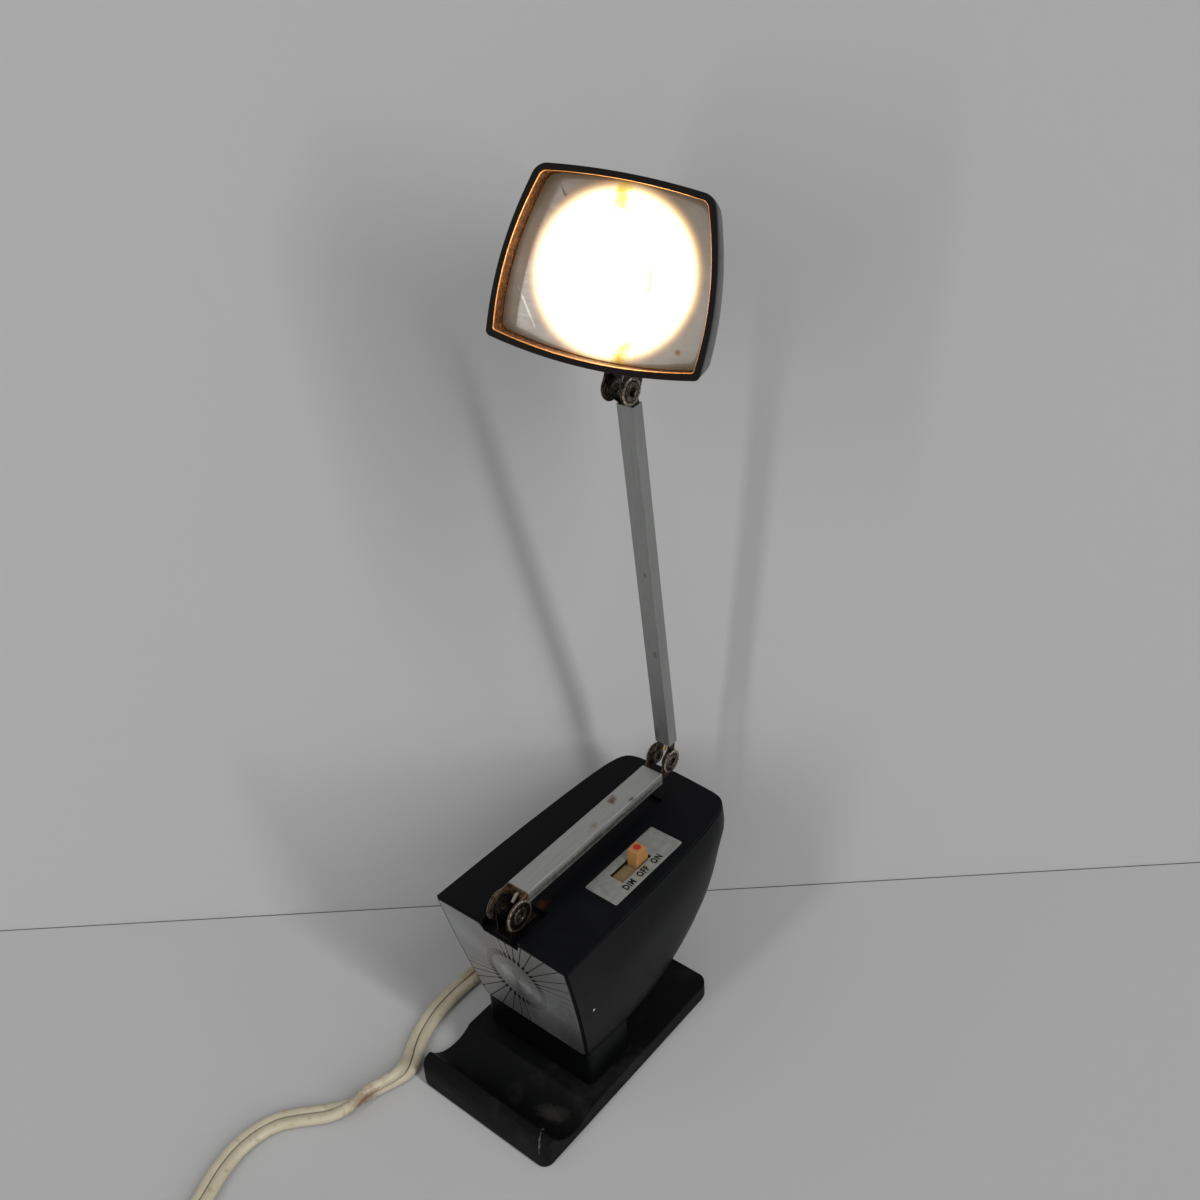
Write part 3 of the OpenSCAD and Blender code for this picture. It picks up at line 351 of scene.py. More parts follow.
def carried(section, line):
    """The section at each point of the line, square to the way ahead and rolled by the line's fourth number."""
    ahead = np.gradient(line[:, :3], axis=0)
    # Both ends run along Y, square to the strain relief and to the plug
    ahead[0], ahead[-1] = (0, 1, 0), (0, 1, 0)
    ahead /= np.linalg.norm(ahead, axis=1, keepdims=True)
    side = np.cross([0, 0, 1], ahead)
    side /= np.linalg.norm(side, axis=1, keepdims=True)
    over = np.cross(ahead, side)
    roll = -np.radians(line[:, 3])[:, None]
    across = side * np.cos(roll) + over * np.sin(roll)
    through = over * np.cos(roll) - side * np.sin(roll)
    return line[:, None, :3] + section[None, :, :1] * across[:, None] + section[None, :, 1:] * through[:, None]


section, groove = two_core_section()
rings = carried(section, flex_line)
# Where the flex rolls on edge, its rings are lifted until they just clear the table
rings[..., 2] += np.maximum(TABLE_GAP - rings[..., 2].min(1), 0)[:, None]
count, around = rings.shape[:2]
faces = grid_faces(count, around).tolist() + end_caps(count, around)
flex = add_mesh("flex", rings.reshape(-1, 3), faces, [FLEX_FINISH], "body", sharp=80)
in_groove = flex.data.attributes.new("groove", "FLOAT", "POINT")
in_groove.data.foreach_set("value", np.tile(groove, count).astype(np.float32))
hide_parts("cord_free", "cord_coil")
print("flex", len(flex.data.polygons), "faces")

# %% [markdown]
# The plug, its blades and the tie that holds the coil are the CAD's solids with softer edges.
# The plug is the same PVC, a little glossier from its mould.

# %% Plug and tie
def moulded(name, colour, rough, grain_mm=0.5, grain_depth=0.01, specular=0.4):
    """Plastic or paint of one colour; the fine grain of its mould breaks up the highlights."""
    m = blank(name)
    where = node(m, "TexCoord").outputs["Object"]
    relief = fine_grain(m, where, grain_mm, 2.0, grain_depth)
    skin = node(m, "BsdfPrincipled", {"Base Color": colour, "Roughness": rough,
                                      "Specular IOR Level": specular, "Normal": relief})
    return finished(m, skin)


def worked_metal(name, light, dark, rough, spot_mm=2.0, spots=(0.4, 0.65), metallic=1.0, grain_depth=0.01):
    """Metal with darker spots where its finish has gone; low spots number sets how much is left bright."""
    m = blank(name)
    where = node(m, "TexCoord").outputs["Object"]
    tone = spotted(m, where, light, dark, spot_mm, 6.0, spots[0], spots[1])
    relief = fine_grain(m, where, 0.4, 3.0, grain_depth)
    skin = node(m, "BsdfPrincipled", {"Base Color": tone, "Metallic": metallic, "Roughness": rough,
                                      "Normal": relief})
    return finished(m, skin)


# PVC pressed in a mould: smoother and a little brighter than the flex
PLUG_FINISH = moulded("pvc_moulded_cream", "#c3b899", 0.38)
# Brass cut from strip: yellow, with duller brown patches
BRASS = worked_metal("brass_cut_strip", "#b59a58", "#8a7038", 0.35)
# Nylon pulled from a mould: a plain grey black
TIE_FINISH = moulded("nylon_moulded_black", "#202124", 0.5)
plug = dressed("plug_body", PLUG_FINISH, 0.8, 3)
blades = dressed("plug_blades", BRASS, 0.25)
tie = dressed("cord_tie", TIE_FINISH, 0.3)
relief = dressed("strain_relief", PLUG_FINISH, 0.3)
print("plug, blades, tie and strain relief")

# %% [markdown]
# ## Plastics and metals of the lamp
# The body is black polystyrene with a satin skin, and its cover is the same plastic with a slightly bluer, duller
# top from years of dusting. The base is duller still and holds dust. The arms are extruded aluminium that was brushed
# along its length, with brown spots where coffee or rust ran. Every hinge part was steel with a thin plating, and has
# gone bronze brown.

# %% Body, cover and base finishes
def moulded_black(name, colour, dusty, rough, patch_mm, dust_from, marks=()):
    """Black polystyrene from a smooth mould: it swallows light. Fine dust makes patches paler and duller."""
    m = blank(name)
    where = node(m, "TexCoord").outputs["Object"]
    patches = node(m, "TexNoise", {"Vector": where, "Scale": per_metre(patch_mm), "Detail": 7.0, "Roughness": 0.65})
    dust = node(m, "MapRange", {"Value": patches, "From Min": dust_from, "From Max": 1.0})
    specks = node(m, "TexNoise", {"Vector": where, "Scale": per_metre(0.35), "Detail": 1.0})
    specks = node(m, "MapRange", {"Value": specks, "From Min": 0.75, "From Max": 0.82, "To Max": 0.2})
    share = node(m, "Math", {0: dust, 1: specks}, operation="MAXIMUM")
    tone = node(m, "Mix", {0: share, 6: colour, 7: dusty}, data_type="RGBA")
    tone = with_marks(m, where, tone, marks)
    satin = node(m, "MapRange", {"Value": patches, "From Min": 0.3, "From Max": 0.7, "To Min": rough - 0.06,
                                 "To Max": rough + 0.06})
    relief = fine_grain(m, where, 0.6, 3.0, 0.012)
    skin = node(m, "BsdfPrincipled", {"Base Color": tone, "Roughness": satin, "Specular IOR Level": 0.12,
                                      "Normal": relief})
    return finished(m, skin)


# The body's sides: the deepest satin black, with one white speck near the front
BODY_FINISH = moulded_black("polystyrene_moulded_satin", "#050607", "#17181a", 0.36, 22, 0.6,
                            [("#b9bab6", 1.0, (27.3, -15.3, 47.1), (0.7, 0.7, 0.7))])
# The cover: a touch bluer, duller from dusting; rust has run into the channel before the hinge
COVER_FINISH = moulded_black("polystyrene_moulded_cover", "#050609", "#181a1f", 0.46, 30, 0.55,
                             [("#3c1f10", 0.8, (3.2, -9.5, 75.2), (3.5, 4.5, 1.5))])
# The base: the dullest; dust lies in the pen groove, and a white scratch crosses its front corner
BASE_FINISH = moulded_black("polystyrene_moulded_base", "#0a0b0b", "#2e2e2c", 0.5, 18, 0.55,
                            [("#3c3a36", 0.5, (18.5, -31, 4), (8, 4.5, 3), (0, 0, 20)),
                             ("#8b8a86", 0.8, (24, -42.6, 7.4), (5.4, 0.6, 4), (0, 0, -59))])
print("plastics:", BODY_FINISH.name, COVER_FINISH.name, BASE_FINISH.name)

# %% Arm and hinge finishes
def extruded_arm(name, along, low_tone, high_tone, stain_from, marks=()):
    """Extruded aluminium brushed lengthwise: fine streaks along one axis, small pits, and stains."""
    m = blank(name)
    where = node(m, "TexCoord").outputs["Object"]
    squeeze = [1.0, 1.0, 1.0]
    squeeze[along] = 0.03
    drawn = node(m, "Mapping", {"Vector": where, "Scale": squeeze})
    streaks = node(m, "TexNoise", {"Vector": drawn, "Scale": per_metre(0.5), "Detail": 5.0})
    tone = node(m, "Mix", {0: streaks, 6: low_tone, 7: high_tone}, data_type="RGBA")
    tone = spotted(m, where, tone, "#6f5c3c", 4.5, 8.0, stain_from, stain_from + 0.14, 0.7, 0.75)
    tone = spotted(m, where, tone, "#3d3a36", 0.5, 2.0, 0.72, 0.8, 0.6)
    tone = with_marks(m, where, tone, marks)
    rough = node(m, "MapRange", {"Value": streaks, "From Min": 0.3, "From Max": 0.7, "To Min": 0.36,
                                 "To Max": 0.52})
    relief = node(m, "Bump", {"Height": streaks, "Distance": 0.01 * MM})
    skin = node(m, "BsdfPrincipled", {"Base Color": tone, "Metallic": 0.85, "Roughness": rough, "Normal": relief})
    return finished(m, skin)


# The lower arm's top is dull silver, with two brown stains near the elbow; painted shade darkens its side
LOWER_ARM_FINISH = extruded_arm("aluminium_extruded_lower", 1, "#a0a19d", "#c6c7c4", 0.62,
                                [("#5a3413", 0.8, (-1.6, 33.4, 86.9), (2.2, 3.2, 1), (0, 0, 30)),
                                 ("#5a3413", 0.7, (3.6, 37.6, 86.9), (1.4, 2.2, 1)),
                                 ("#8a7440", 0.5, (1.5, 20, 86.9), (1.8, 3, 1)),
                                 # Painted shade along the whole side, and a pale green painted reflection on it
                                 ("#232422", 0.8, (4.4, 19, 83.9), (1.2, 60, 2.1)),
                                 ("#8f9a80", 0.7, (4.3, 21.5, 84.6), (0.8, 1.8, 1.8))])
# The upper arm is cleaner, with a small dark spot halfway and scuffs near the elbow
UPPER_ARM_FINISH = extruded_arm("aluminium_extruded_upper", 2, "#858785", "#a6a8a6", 0.70,
                                [("#4a4038", 0.8, (0.6, 54.8, 167.4), (0.8, 1, 1.2)),
                                 ("#5c4a38", 0.6, (1.1, 57.3, 134.9), (1.2, 1, 2.0))])
# Steel stamped from strip, its plating gone: dark brown with a little tan left
HINGE_FINISH = worked_metal("steel_stamped_browned", "#5c4e42", "#1c1613", 0.46, 1.4, (0.35, 0.6), 0.85, 0.03)
# The bracket in the pocket: the same stamped steel in darker tones
BRACKET_FINISH = worked_metal("steel_stamped_darker_in_pocket", "#2f2823", "#0f0c0a", 0.5, 1.4, (0.35, 0.6), 0.7, 0.03)
# The strap at the front of the arm is a lighter, rusty tan
STRAP_FINISH = worked_metal("steel_folded_rusty", "#806750", "#33251b", 0.5, 1.8, (0.4, 0.66), 0.8, 0.03)
# Knurled discs: near black faces, and rims that hands have polished to a pale tan
DISC_FINISH = worked_metal("steel_turned_browned", "#4a423b", "#171311", 0.44, 1.0, (0.3, 0.55), 0.9, 0.02)
DISC_RIM = worked_metal("steel_knurled_worn", "#b3a798", "#5c5148", 0.34, 0.8, (0.42, 0.62), 0.95, 0.01)
# Eyelets rolled from brass tube, now dull brown with a dark bore
EYELET_FINISH = worked_metal("brass_rolled_dull", "#72675a", "#2e2721", 0.38, 1.0, (0.38, 0.6), 0.9)
# Yellowed PVC round the leads in the hinges
WIRE_FINISH = moulded("pvc_insulation_yellowed", "#b39d62", 0.5)
# The same at the ends, greyed by dust
GREY_LEAD = moulded("pvc_insulation_greyed", "#7d7464", 0.6)
# Screws with a bright zinc skin
ZINC = worked_metal("zinc_plated_screws", "#9fa1a2", "#77797a", 0.35)
print("metals:", HINGE_FINISH.name, DISC_FINISH.name, EYELET_FINISH.name)

# %% [markdown]
# ## Body and base
# These are moulded solids, so their CAD shape is right and only its edges are too sharp. A copy of each solid is
# merged, and a Bevel modifier rounds the cover's edges by a fifth of a millimetre and the base's by half of one. The
# housing has its own rounded corners, so it is only smoothed.

# %% Body, cover and base
housing = dressed("housing", BODY_FINISH, sharp=28)
cover = dressed("top_cover", COVER_FINISH, 0.22, sharp=32)
dressed("base_shell", BASE_FINISH, 0.5, 3)
# Felt pressed from black wool: no gloss at all
FELT = moulded("felt_pressed_black", "#1c1d1c", 0.95, 0.3, 0.1, 0.1)
paint("base_pad", FELT)
print("housing", len(housing.data.polygons), "faces, cover", len(cover.data.polygons))

# %% [markdown]
# ## Front plate
# The plate is thin aluminium, brushed in circles, with a sunburst printed in black: short bold strokes in a ring and
# a fine line from each stroke to the plate's edge. Its grid is polar, from the middle of the burst out to the edge,
# so the surface carries its own angle and radius, and the print is two sums on them. The same map turns the brushed
# sheen round the middle.

# %% Front plate finish
BURST_RAYS, STROKE_IN, STROKE_OUT, DISC_OUT = 44, 10.1, 12.7, 6.2


def spun_and_printed():
    """Aluminium brushed in circles and printed black. The eye sees a bow-tie sheen crossed by fine rays."""
    m = blank("aluminium_spun_printed")
    where = node(m, "TexCoord").outputs["Object"]
    polar = node(m, "UVMap", uv_map="polar")
    split = node(m, "SeparateXYZ", {"Vector": polar}).outputs
    # u counts whole turns and v is the radius in decimetres
    radius = node(m, "Math", {0: split[1], 1: 100.0}, operation="MULTIPLY")
    turn = node(m, "Math", {0: split[0], 1: float(BURST_RAYS)}, operation="MULTIPLY")
    ray = node(m, "Math", {0: turn}, operation="FRACT")
    ray = node(m, "Math", {0: ray, 1: 0.5}, operation="SUBTRACT")
    ray = node(m, "Math", {0: ray}, operation="ABSOLUTE")
    # Distance from the nearest ray's middle, in mm: part of a turn times the arc of one ray
    arc = node(m, "Math", {0: radius, 1: 2 * math.pi / BURST_RAYS}, operation="MULTIPLY")
    off = node(m, "Math", {0: ray, 1: arc}, operation="MULTIPLY")
    bold = node(m, "MapRange", {"Value": off, "From Min": 0.47, "From Max": 0.56, "To Min": 1.0, "To Max": 0.0})
    begins = node(m, "MapRange", {"Value": radius, "From Min": STROKE_IN, "From Max": STROKE_IN + 0.15})
    ends = node(m, "MapRange", {"Value": radius, "From Min": STROKE_OUT, "From Max": STROKE_OUT + 0.15})
    within = node(m, "Math", {0: begins, 1: ends}, operation="SUBTRACT")
    stroke = node(m, "Math", {0: bold, 1: within}, operation="MULTIPLY")
    fine = node(m, "MapRange", {"Value": off, "From Min": 0.13, "From Max": 0.24, "To Min": 1.0, "To Max": 0.0})
    line = node(m, "Math", {0: fine, 1: ends}, operation="MULTIPLY")
    # Painted sheen: the print is faded by its angle round the burst, shown best to the upper right and lower left and
    # washed out elsewhere
    way = node(m, "Math", {0: split[0], 1: 4 * math.pi, 2: -math.radians(114)}, operation="MULTIPLY_ADD")
    way = node(m, "Math", {0: way}, operation="COSINE")
    shown = node(m, "MapRange", {"Value": way, "From Min": -0.7, "From Max": 0.5, "To Min": 0.12})
    line = node(m, "Math", {0: line, 1: shown}, operation="MULTIPLY")
    painted_sheen_strokes = node(m, "MapRange", {"Value": way, "From Min": -0.9, "From Max": 0.3, "To Min": 0.6})
    stroke = node(m, "Math", {0: stroke, 1: painted_sheen_strokes}, operation="MULTIPLY")
    ink = node(m, "Math", {0: stroke, 1: line}, operation="MAXIMUM")
    tone = clouded(m, where, "#9b9c9d", "#b2b3b4", 16, 3.0)
    disc = node(m, "MapRange", {"Value": radius, "From Min": DISC_OUT, "From Max": DISC_OUT + 0.4, "To Min": 0.7,
                                "To Max": 0.0})
    tone = node(m, "Mix", {0: disc, 6: tone, 7: "#c6c7c8"}, data_type="RGBA")
    # Painted shade: the lower right is darker, where the spun sheen turns away from the light
    tone = with_marks(m, where, tone, [("#3a3b3d", 0.6, (22, -17, 30), (17, 14, 34))])
    tone = node(m, "Mix", {0: ink, 6: tone, 7: "#070707"}, data_type="RGBA")
    bare = node(m, "MapRange", {"Value": ink, "To Min": 0.85, "To Max": 0.0})
    shine = node(m, "MapRange", {"Value": ink, "To Min": 0.5, "To Max": 0.04})
    rings = node(m, "Mapping", {"Vector": polar, "Scale": (2, 260, 1)})
    spun = node(m, "TexNoise", {"Vector": rings, "Scale": 1.0, "Detail": 3.0})
    relief = node(m, "Bump", {"Height": spun, "Distance": 0.004 * MM})
    round_way = node(m, "Tangent", direction_type="UV_MAP", uv_map="polar")
    skin = node(m, "BsdfPrincipled", {"Base Color": tone, "Metallic": bare, "Roughness": 0.36,
                                      "Specular IOR Level": shine, "Anisotropic": 0.75, "Normal": relief,
                                      "Tangent": round_way})
    return finished(m, skin)


FRONT_FINISH = spun_and_printed()
# A line of black enamel runs round the plate's edge
EDGE_LINE = moulded("enamel_lined_black", "#08080a", 0.5, specular=0.15)

# %% Front plate mesh
FOOT_Z, TOP_Z, FOOT_Y, HEAD_Y, SKIN = 20.7, 75.0, -16.4, -27.4, 0.6
LOW_W, TOP_W, CROWN, POCKET_W, POCKET_Z = 47.2, 57.0, 1.1, 15.2, 72.7
BULGE, FOOT_R = 4.2, 3.5
# The plate stops short of the body's outline: at its foot, top, sides and notch
SHORT_FOOT, SHORT_TOP, SHORT_SIDE, SHORT_NOTCH = 0.7, 0.3, 0.6, 0.3
CROWN_HALF, CROWN_END = 27.52, 25.6
front_lean = math.atan((FOOT_Y - HEAD_Y) / (TOP_Z - FOOT_Z))


def front_half(z):
    """Half width of the body's front at a height: a straight taper, a bulge, and a round foot."""
    k = (z - FOOT_Z) / (TOP_Z - FOOT_Z)
    foot = np.clip(FOOT_R - (z - FOOT_Z), 0, FOOT_R)
    cut = FOOT_R - np.sqrt(FOOT_R ** 2 - foot ** 2)
    return LOW_W / 2 + (TOP_W - LOW_W) / 2 * k + BULGE * k * (1 - k) - cut


def plate_outline():
    """Edge of the front plate in its own plane: x across, y up the slope."""
    tall = TOP_Z - FOOT_Z - (SHORT_FOOT + SHORT_TOP)
    z = FOOT_Z + SHORT_FOOT + tall * np.linspace(0, 1, 60) ** 1.5
    side = np.stack([front_half(z) - SHORT_SIDE, (z - FOOT_Z) / math.cos(front_lean)], -1)
    top = side[-1, 1]
    notch = (POCKET_Z - SHORT_NOTCH - FOOT_Z) / math.cos(front_lean)
    x = np.concatenate([np.linspace(CROWN_END, POCKET_W / 2, 12), np.linspace(-POCKET_W / 2, -CROWN_END, 12)])
    crown = np.stack([x, top + (CROWN - 0.2) * (1 - (x / CROWN_HALF) ** 2)], -1)
    cut = np.array([[POCKET_W / 2, notch], [-POCKET_W / 2, notch]])
    return np.vstack([side, crown[:12], cut, crown[12:], side[::-1] * [-1, 1]])


def edge_radius(outline, centre, angles):
    """Distance from the centre to the outline in each direction: the nearest crossing of a ray and an edge."""
    a, b = outline - centre, np.roll(outline, -1, axis=0) - centre
    ray = np.stack([np.cos(angles), np.sin(angles)], -1)[:, None, :]
    edge = (b - a)[None]
    cross = ray[..., 0] * edge[..., 1] - ray[..., 1] * edge[..., 0]
    cross = np.where(np.abs(cross) < 1e-9, 1e-9, cross)
    reach = (a[None, :, 0] * edge[..., 1] - a[None, :, 1] * edge[..., 0]) / cross
    share = (a[None, :, 0] * ray[..., 1] - a[None, :, 1] * ray[..., 0]) / cross
    reach = np.where((share >= 0) & (share <= 1) & (reach > 0), reach, np.inf)
    return reach.min(1)


BURST, BURST_TALL = np.array([0.0, 29.6]), 1.2
PLATE_T = 0.55
spokes, bands = 720, 26
angles = np.arange(spokes) * 2 * np.pi / spokes
reach = edge_radius(plate_outline(), BURST, angles)
share = np.concatenate([np.linspace(0.01, 0.976, bands - 1), [1.0]])
radius = share[:, None] * reach[None, :]
flat = BURST + np.stack([radius * np.cos(angles), radius * np.sin(angles)], -1)


def on_front(flat, out_mm):
    """Points of the plate's plane in the frame, that far in front of the body."""
    c, s = math.cos(front_lean), math.sin(front_lean)
    return np.stack([flat[..., 0], FOOT_Y + SKIN - s * flat[..., 1] - c * out_mm,
                     FOOT_Z + c * flat[..., 1] - s * out_mm], -1)


height = np.where(np.arange(bands) == bands - 1, PLATE_T - 0.12, PLATE_T)[:, None]
front_rows = np.concatenate([on_front(flat, height), on_front(flat[-1:], np.zeros((1, 1)))])
rows = len(front_rows)
faces = grid_faces(rows, spokes).tolist() + end_caps(rows, spokes)
# The last band and the skirt are the black line
finish = np.concatenate([np.repeat(np.arange(rows - 1) >= bands - 2, spokes), [False, True]]).astype(int)
front_plate = add_mesh("front_plate", front_rows.reshape(-1, 3), faces, [FRONT_FINISH, EDGE_LINE], "body",
                       finish)


def polar_map(mesh, columns, radii):
    """UV map of angle and radius; the last column's far side counts on to 1, so that no face spans the seam."""
    uv = mesh.uv_layers.new(name="polar")
    corner = np.zeros(len(mesh.loops), np.int32)
    mesh.loops.foreach_get("vertex_index", corner)
    start = np.zeros(len(mesh.polygons), np.int32)
    total = np.zeros(len(mesh.polygons), np.int32)
    mesh.polygons.foreach_get("loop_start", start)
    mesh.polygons.foreach_get("loop_total", total)
    column = (corner % columns).astype(float)
    face = np.repeat(np.arange(len(start)), total)
    wraps = np.maximum.reduceat(column, start) - np.minimum.reduceat(column, start) > columns / 2
    column = np.where(wraps[face] & (column < columns / 2) & (total[face] == 4), column + columns, column)
    uv.data.foreach_set("uv", np.stack([column / columns, radii[corner] / 100], -1).astype(np.float32).ravel())


oval = radius * np.hypot(np.cos(angles), np.sin(angles) / BURST_TALL)
polar_map(front_plate.data, spokes, np.concatenate([oval, oval[-1:]]).ravel())
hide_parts("front_panel")
print("front plate", len(front_plate.data.polygons), "faces, burst reach", reach.min().round(1), "mm")

# %% [markdown]
# ## Switch
# The dimmer's plate is satin aluminium with black letters that read from the front to the rear. Its knob is cream
# urea plastic with a red paint dot. Letters are text turned into a mesh, a hundredth of a millimetre thick.

# %% Switch pieces
def pressed_urea():
    """Urea pressed in a hot mould: the knob is a warm tan, and painted shade makes the slider under it brown."""
    m = blank("urea_pressed_tan")
    where = node(m, "TexCoord").outputs["Object"]
    height = node(m, "SeparateXYZ", {"Vector": where}).outputs[2]
    # Painted shade: the slider, below the knob's top, is given darker browns
    above = node(m, "MapRange", {"Value": height, "From Min": 73.4 * MM, "From Max": 76.4 * MM})
    cloud = node(m, "TexNoise", {"Vector": where, "Scale": per_metre(3), "Detail": 4.0})
    slider = node(m, "Mix", {0: cloud, 6: "#66563d", 7: "#94805a"}, data_type="RGBA")
    knob = node(m, "Mix", {0: cloud, 6: "#8f6534", 7: "#a07643"}, data_type="RGBA")
    tone = node(m, "Mix", {0: above, 6: slider, 7: knob}, data_type="RGBA")
    skin = node(m, "BsdfPrincipled", {"Base Color": tone, "Roughness": 0.4, "Subsurface Weight": 0.08,
                                      "Subsurface Scale": 0.001})
    return finished(m, skin)


# Aluminium blanked from sheet with a satin face: pale, with grey clouds
PLATE_FINISH = worked_metal("aluminium_blanked_satin", "#b4b5b0", "#9b9c97", 0.45, 3.0, (0.35, 0.75), 0.8, 0.006)
KNOB_FINISH = pressed_urea()
# Red enamel dropped into the knob's top
DOT_FINISH = moulded("enamel_dropped_red", "#a01c12", 0.4)
# Screen-printed ink: flat and black
INK = moulded("ink_screened_black", "#0a0a0b", 0.6, specular=0.2)
dressed("switch_plate", PLATE_FINISH, 0.12)
dressed("switch_knob", KNOB_FINISH, 0.45, 3)
dressed("knob_dot", DOT_FINISH, 0.05)
LETTER_H, LETTER_X, LETTER_Z, INK_LIFT = 2.5, 21.6, 75.5, 0.006
CAPITAL_SHARE, NARROW, INK_SPREAD = 0.73, 0.78, 0.045


def lettering(name, words, middle_y):
    """Word along +Y on the switch plate, its tops towards the arm."""
    curve = bpy.data.curves.new(name, "FONT")
    curve.body, curve.size, curve.extrude, curve.resolution_u = words, 1.0, 0.002, 3
    curve.align_x, curve.align_y, curve.space_character = "CENTER", "BOTTOM_BASELINE", 1.14
    curve.offset = INK_SPREAD
    text = shown(name, curve)
    bpy.context.view_layer.update()
    mesh = bpy.data.meshes.new_from_object(text.evaluated_get(bpy.context.evaluated_depsgraph_get()))
    bpy.data.objects.remove(text)
    size = LETTER_H / CAPITAL_SHARE * MM
    mesh.transform(Matrix.Translation((LETTER_X * MM, middle_y * MM, (LETTER_Z + INK_LIFT) * MM))
                   @ Matrix.Rotation(math.pi / 2, 4, "Z") @ Matrix.Diagonal((size * NARROW, size, size, 1)))
    reworked(mesh, lambda bm: bmesh.ops.remove_doubles(bm, verts=bm.verts, dist=1e-7), outwards)
    mesh.materials.clear()
    piece = shown(name, mesh, [INK])
    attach(piece, "body")


for word, middle in (("DIM", 14.1), ("OFF", 21.4), ("ON", 28.8)):
    lettering("letters_" + word.lower(), word, middle)
print("switch plate, knob, dot and three words")

# %% [markdown]
# ## Hinges and arms
# Each hinge is a stack: an ear, a washer, an ear, a knurled disc, and a hollow eyelet whose rim is rolled over the
# disc. Discs and eyelets are turned shapes: a profile of distance along the pin and radius, swept round the pin.
# A cosine bites into the disc's rim, inwards and sideways, and gives its fine knurl.

# %% Hinge pieces
BITE_BAND, BITE_FADE, SIDE_BITE = 0.9, 0.5, 0.6


def swept_round(name, profile, centre, materials, body, bright=(), teeth=0, depth=0.0, steps=72):
    """Profile of (x, radius) round a pin along X, on both sides of the middle plane; bright edges get finish 1."""
    profile = np.array(profile, float)
    angle = np.arange(steps) * 2 * np.pi / steps
    biting = np.clip((profile[:, 1] - profile[:, 1].max() + BITE_BAND) / BITE_FADE, 0, 1)[:, None]
    outer_face = (profile[:, :1] > profile[:, 0].mean()).astype(float)
    wave = depth * biting * (0.5 - 0.5 * np.cos(teeth * angle))[None, :]
    radius = profile[:, 1:] - wave
    along = profile[:, :1] - SIDE_BITE * wave * outer_face
    shape = np.stack([along, radius * np.cos(angle), radius * np.sin(angle)], -1)
    both = np.concatenate([shape, shape * [-1, 1, 1]]).reshape(-1, 3) + centre
    faces = grid_faces(len(profile), steps, close_rows=True)
    finish = np.tile(np.repeat(np.isin(np.arange(len(profile)), bright).astype(int), steps), 2)
    return add_mesh(name, both, np.concatenate([faces, faces + shape.shape[0] * steps]), materials, body,
                    finish)


LEAN, REACH = math.radians(4.5), 145.8
SHOULDER = np.array([0, -21.3, 81.1])
ELBOW = np.array([0, 60.2, 88.3])
HEAD = ELBOW + REACH * np.array([0, -math.sin(LEAN), math.cos(LEAN)])


def eyelet_profile(out):
    """Hollow rivet: a tube with a flat flange inside and a rolled one outside, moved out along the pin."""
    return np.array([(1.65, 1.45), (4.33, 1.45), (4.45, 1.57), (4.5, 1.95), (4.47, 2.5), (4.38, 2.85), (4.26, 3.0),
                     (4.2, 2.9), (4.2, 2.0), (2.0, 2.0), (2.0, 2.75), (1.65, 2.75)]) + [out, 0]


def disc_profile(out, r):
    """Knurled disc 0.4 mm thick: a flat face, a shallow groove and a raised rim."""
    return np.array([(3.8, 2.06), (4.2, 2.06), (4.2, r - 1.3), (4.12, r - 1.2), (4.12, r - 0.95), (4.2, r - 0.85),
                     (4.2, r - 0.1), (4.13, r), (3.87, r), (3.8, r - 0.1)]) + [out, 0]


# Each hinge: its pin, its body, how much further out it sits, and its disc's radius
for joint, centre, body, out, r in (("shoulder", SHOULDER, "lower_arm", 0.6, 5.5),
                                    ("elbow", ELBOW, "lower_arm", 0.0, 4.3),
                                    ("head", HEAD, "head_bracket", 0.0, 4.3)):
    eyelet = swept_round(joint + "_eyelet_pair", eyelet_profile(out), centre, [EYELET_FINISH], body)
    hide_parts(joint + "_eyelets")
    disc = swept_round(joint + "_disc_pair", disc_profile(out, r), centre, [DISC_FINISH, DISC_RIM], body,
                       (5, 6, 7), 48, 0.15, 288)
    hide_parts(joint + "_discs")
    dressed(joint + "_washers", HINGE_FINISH, 0.08)
dressed("shoulder_bracket", BRACKET_FINISH, 0.12)
for name in ("lower_arm_rear_clevis", "upper_arm_low_clevis", "upper_arm_top_clevis", "head_bracket"):
    dressed(name, HINGE_FINISH, 0.12)
dressed("lower_arm_front_clevis", STRAP_FINISH, 0.12)
for name in ("bracket_rivets", "swivel_rivet"):
    dressed(name, EYELET_FINISH, 0.1)
dressed("swivel_washer", HINGE_FINISH, 0.05)
dressed("lower_arm", LOWER_ARM_FINISH, 0.2)
dressed("upper_arm", UPPER_ARM_FINISH, 0.2)
for name, finish in (("shoulder_wire", GREY_LEAD), ("elbow_wire", WIRE_FINISH), ("head_wire", GREY_LEAD)):
    dressed(name, finish)
print("three hinges and two arms")

# %% [markdown]
# ## Shade
# The shade is a black enamelled shell like a small television: a rim that is wider at the hinge, bowed on all four
# sides, closing to a small rounded back. Its wall follows one outline that shrinks with depth by a superellipse.
# The lip is folded in, flat and thick, and hides the wall behind it. Inside, the paint is coloured a coppery
# brown as painted light from the bulb, and the bulb lights it too.

# %% Shade shape
TILT, TURN, SWIVEL_Y = math.radians(-23.7), math.radians(22.7), -8.0
RIM_AHEAD, SHADE_D, SHADE_BACK, WALL, SHEET, MID_Z = 21.7, 46.0, 0.6, 1.8, 0.9, 29.4
RIM_LOW_Z, LOW_RISE, RISE_D, RIM_H, RIM_LOW, RIM_TOP = 5.6, 1.4, 12.0, 46.5, 60.0, 49.2
LOW_BOW, SIDE_BOW, TOP_BOW = 3.1, 2.6, 1.5
CORNER_Z = RIM_LOW_Z + LOW_BOW


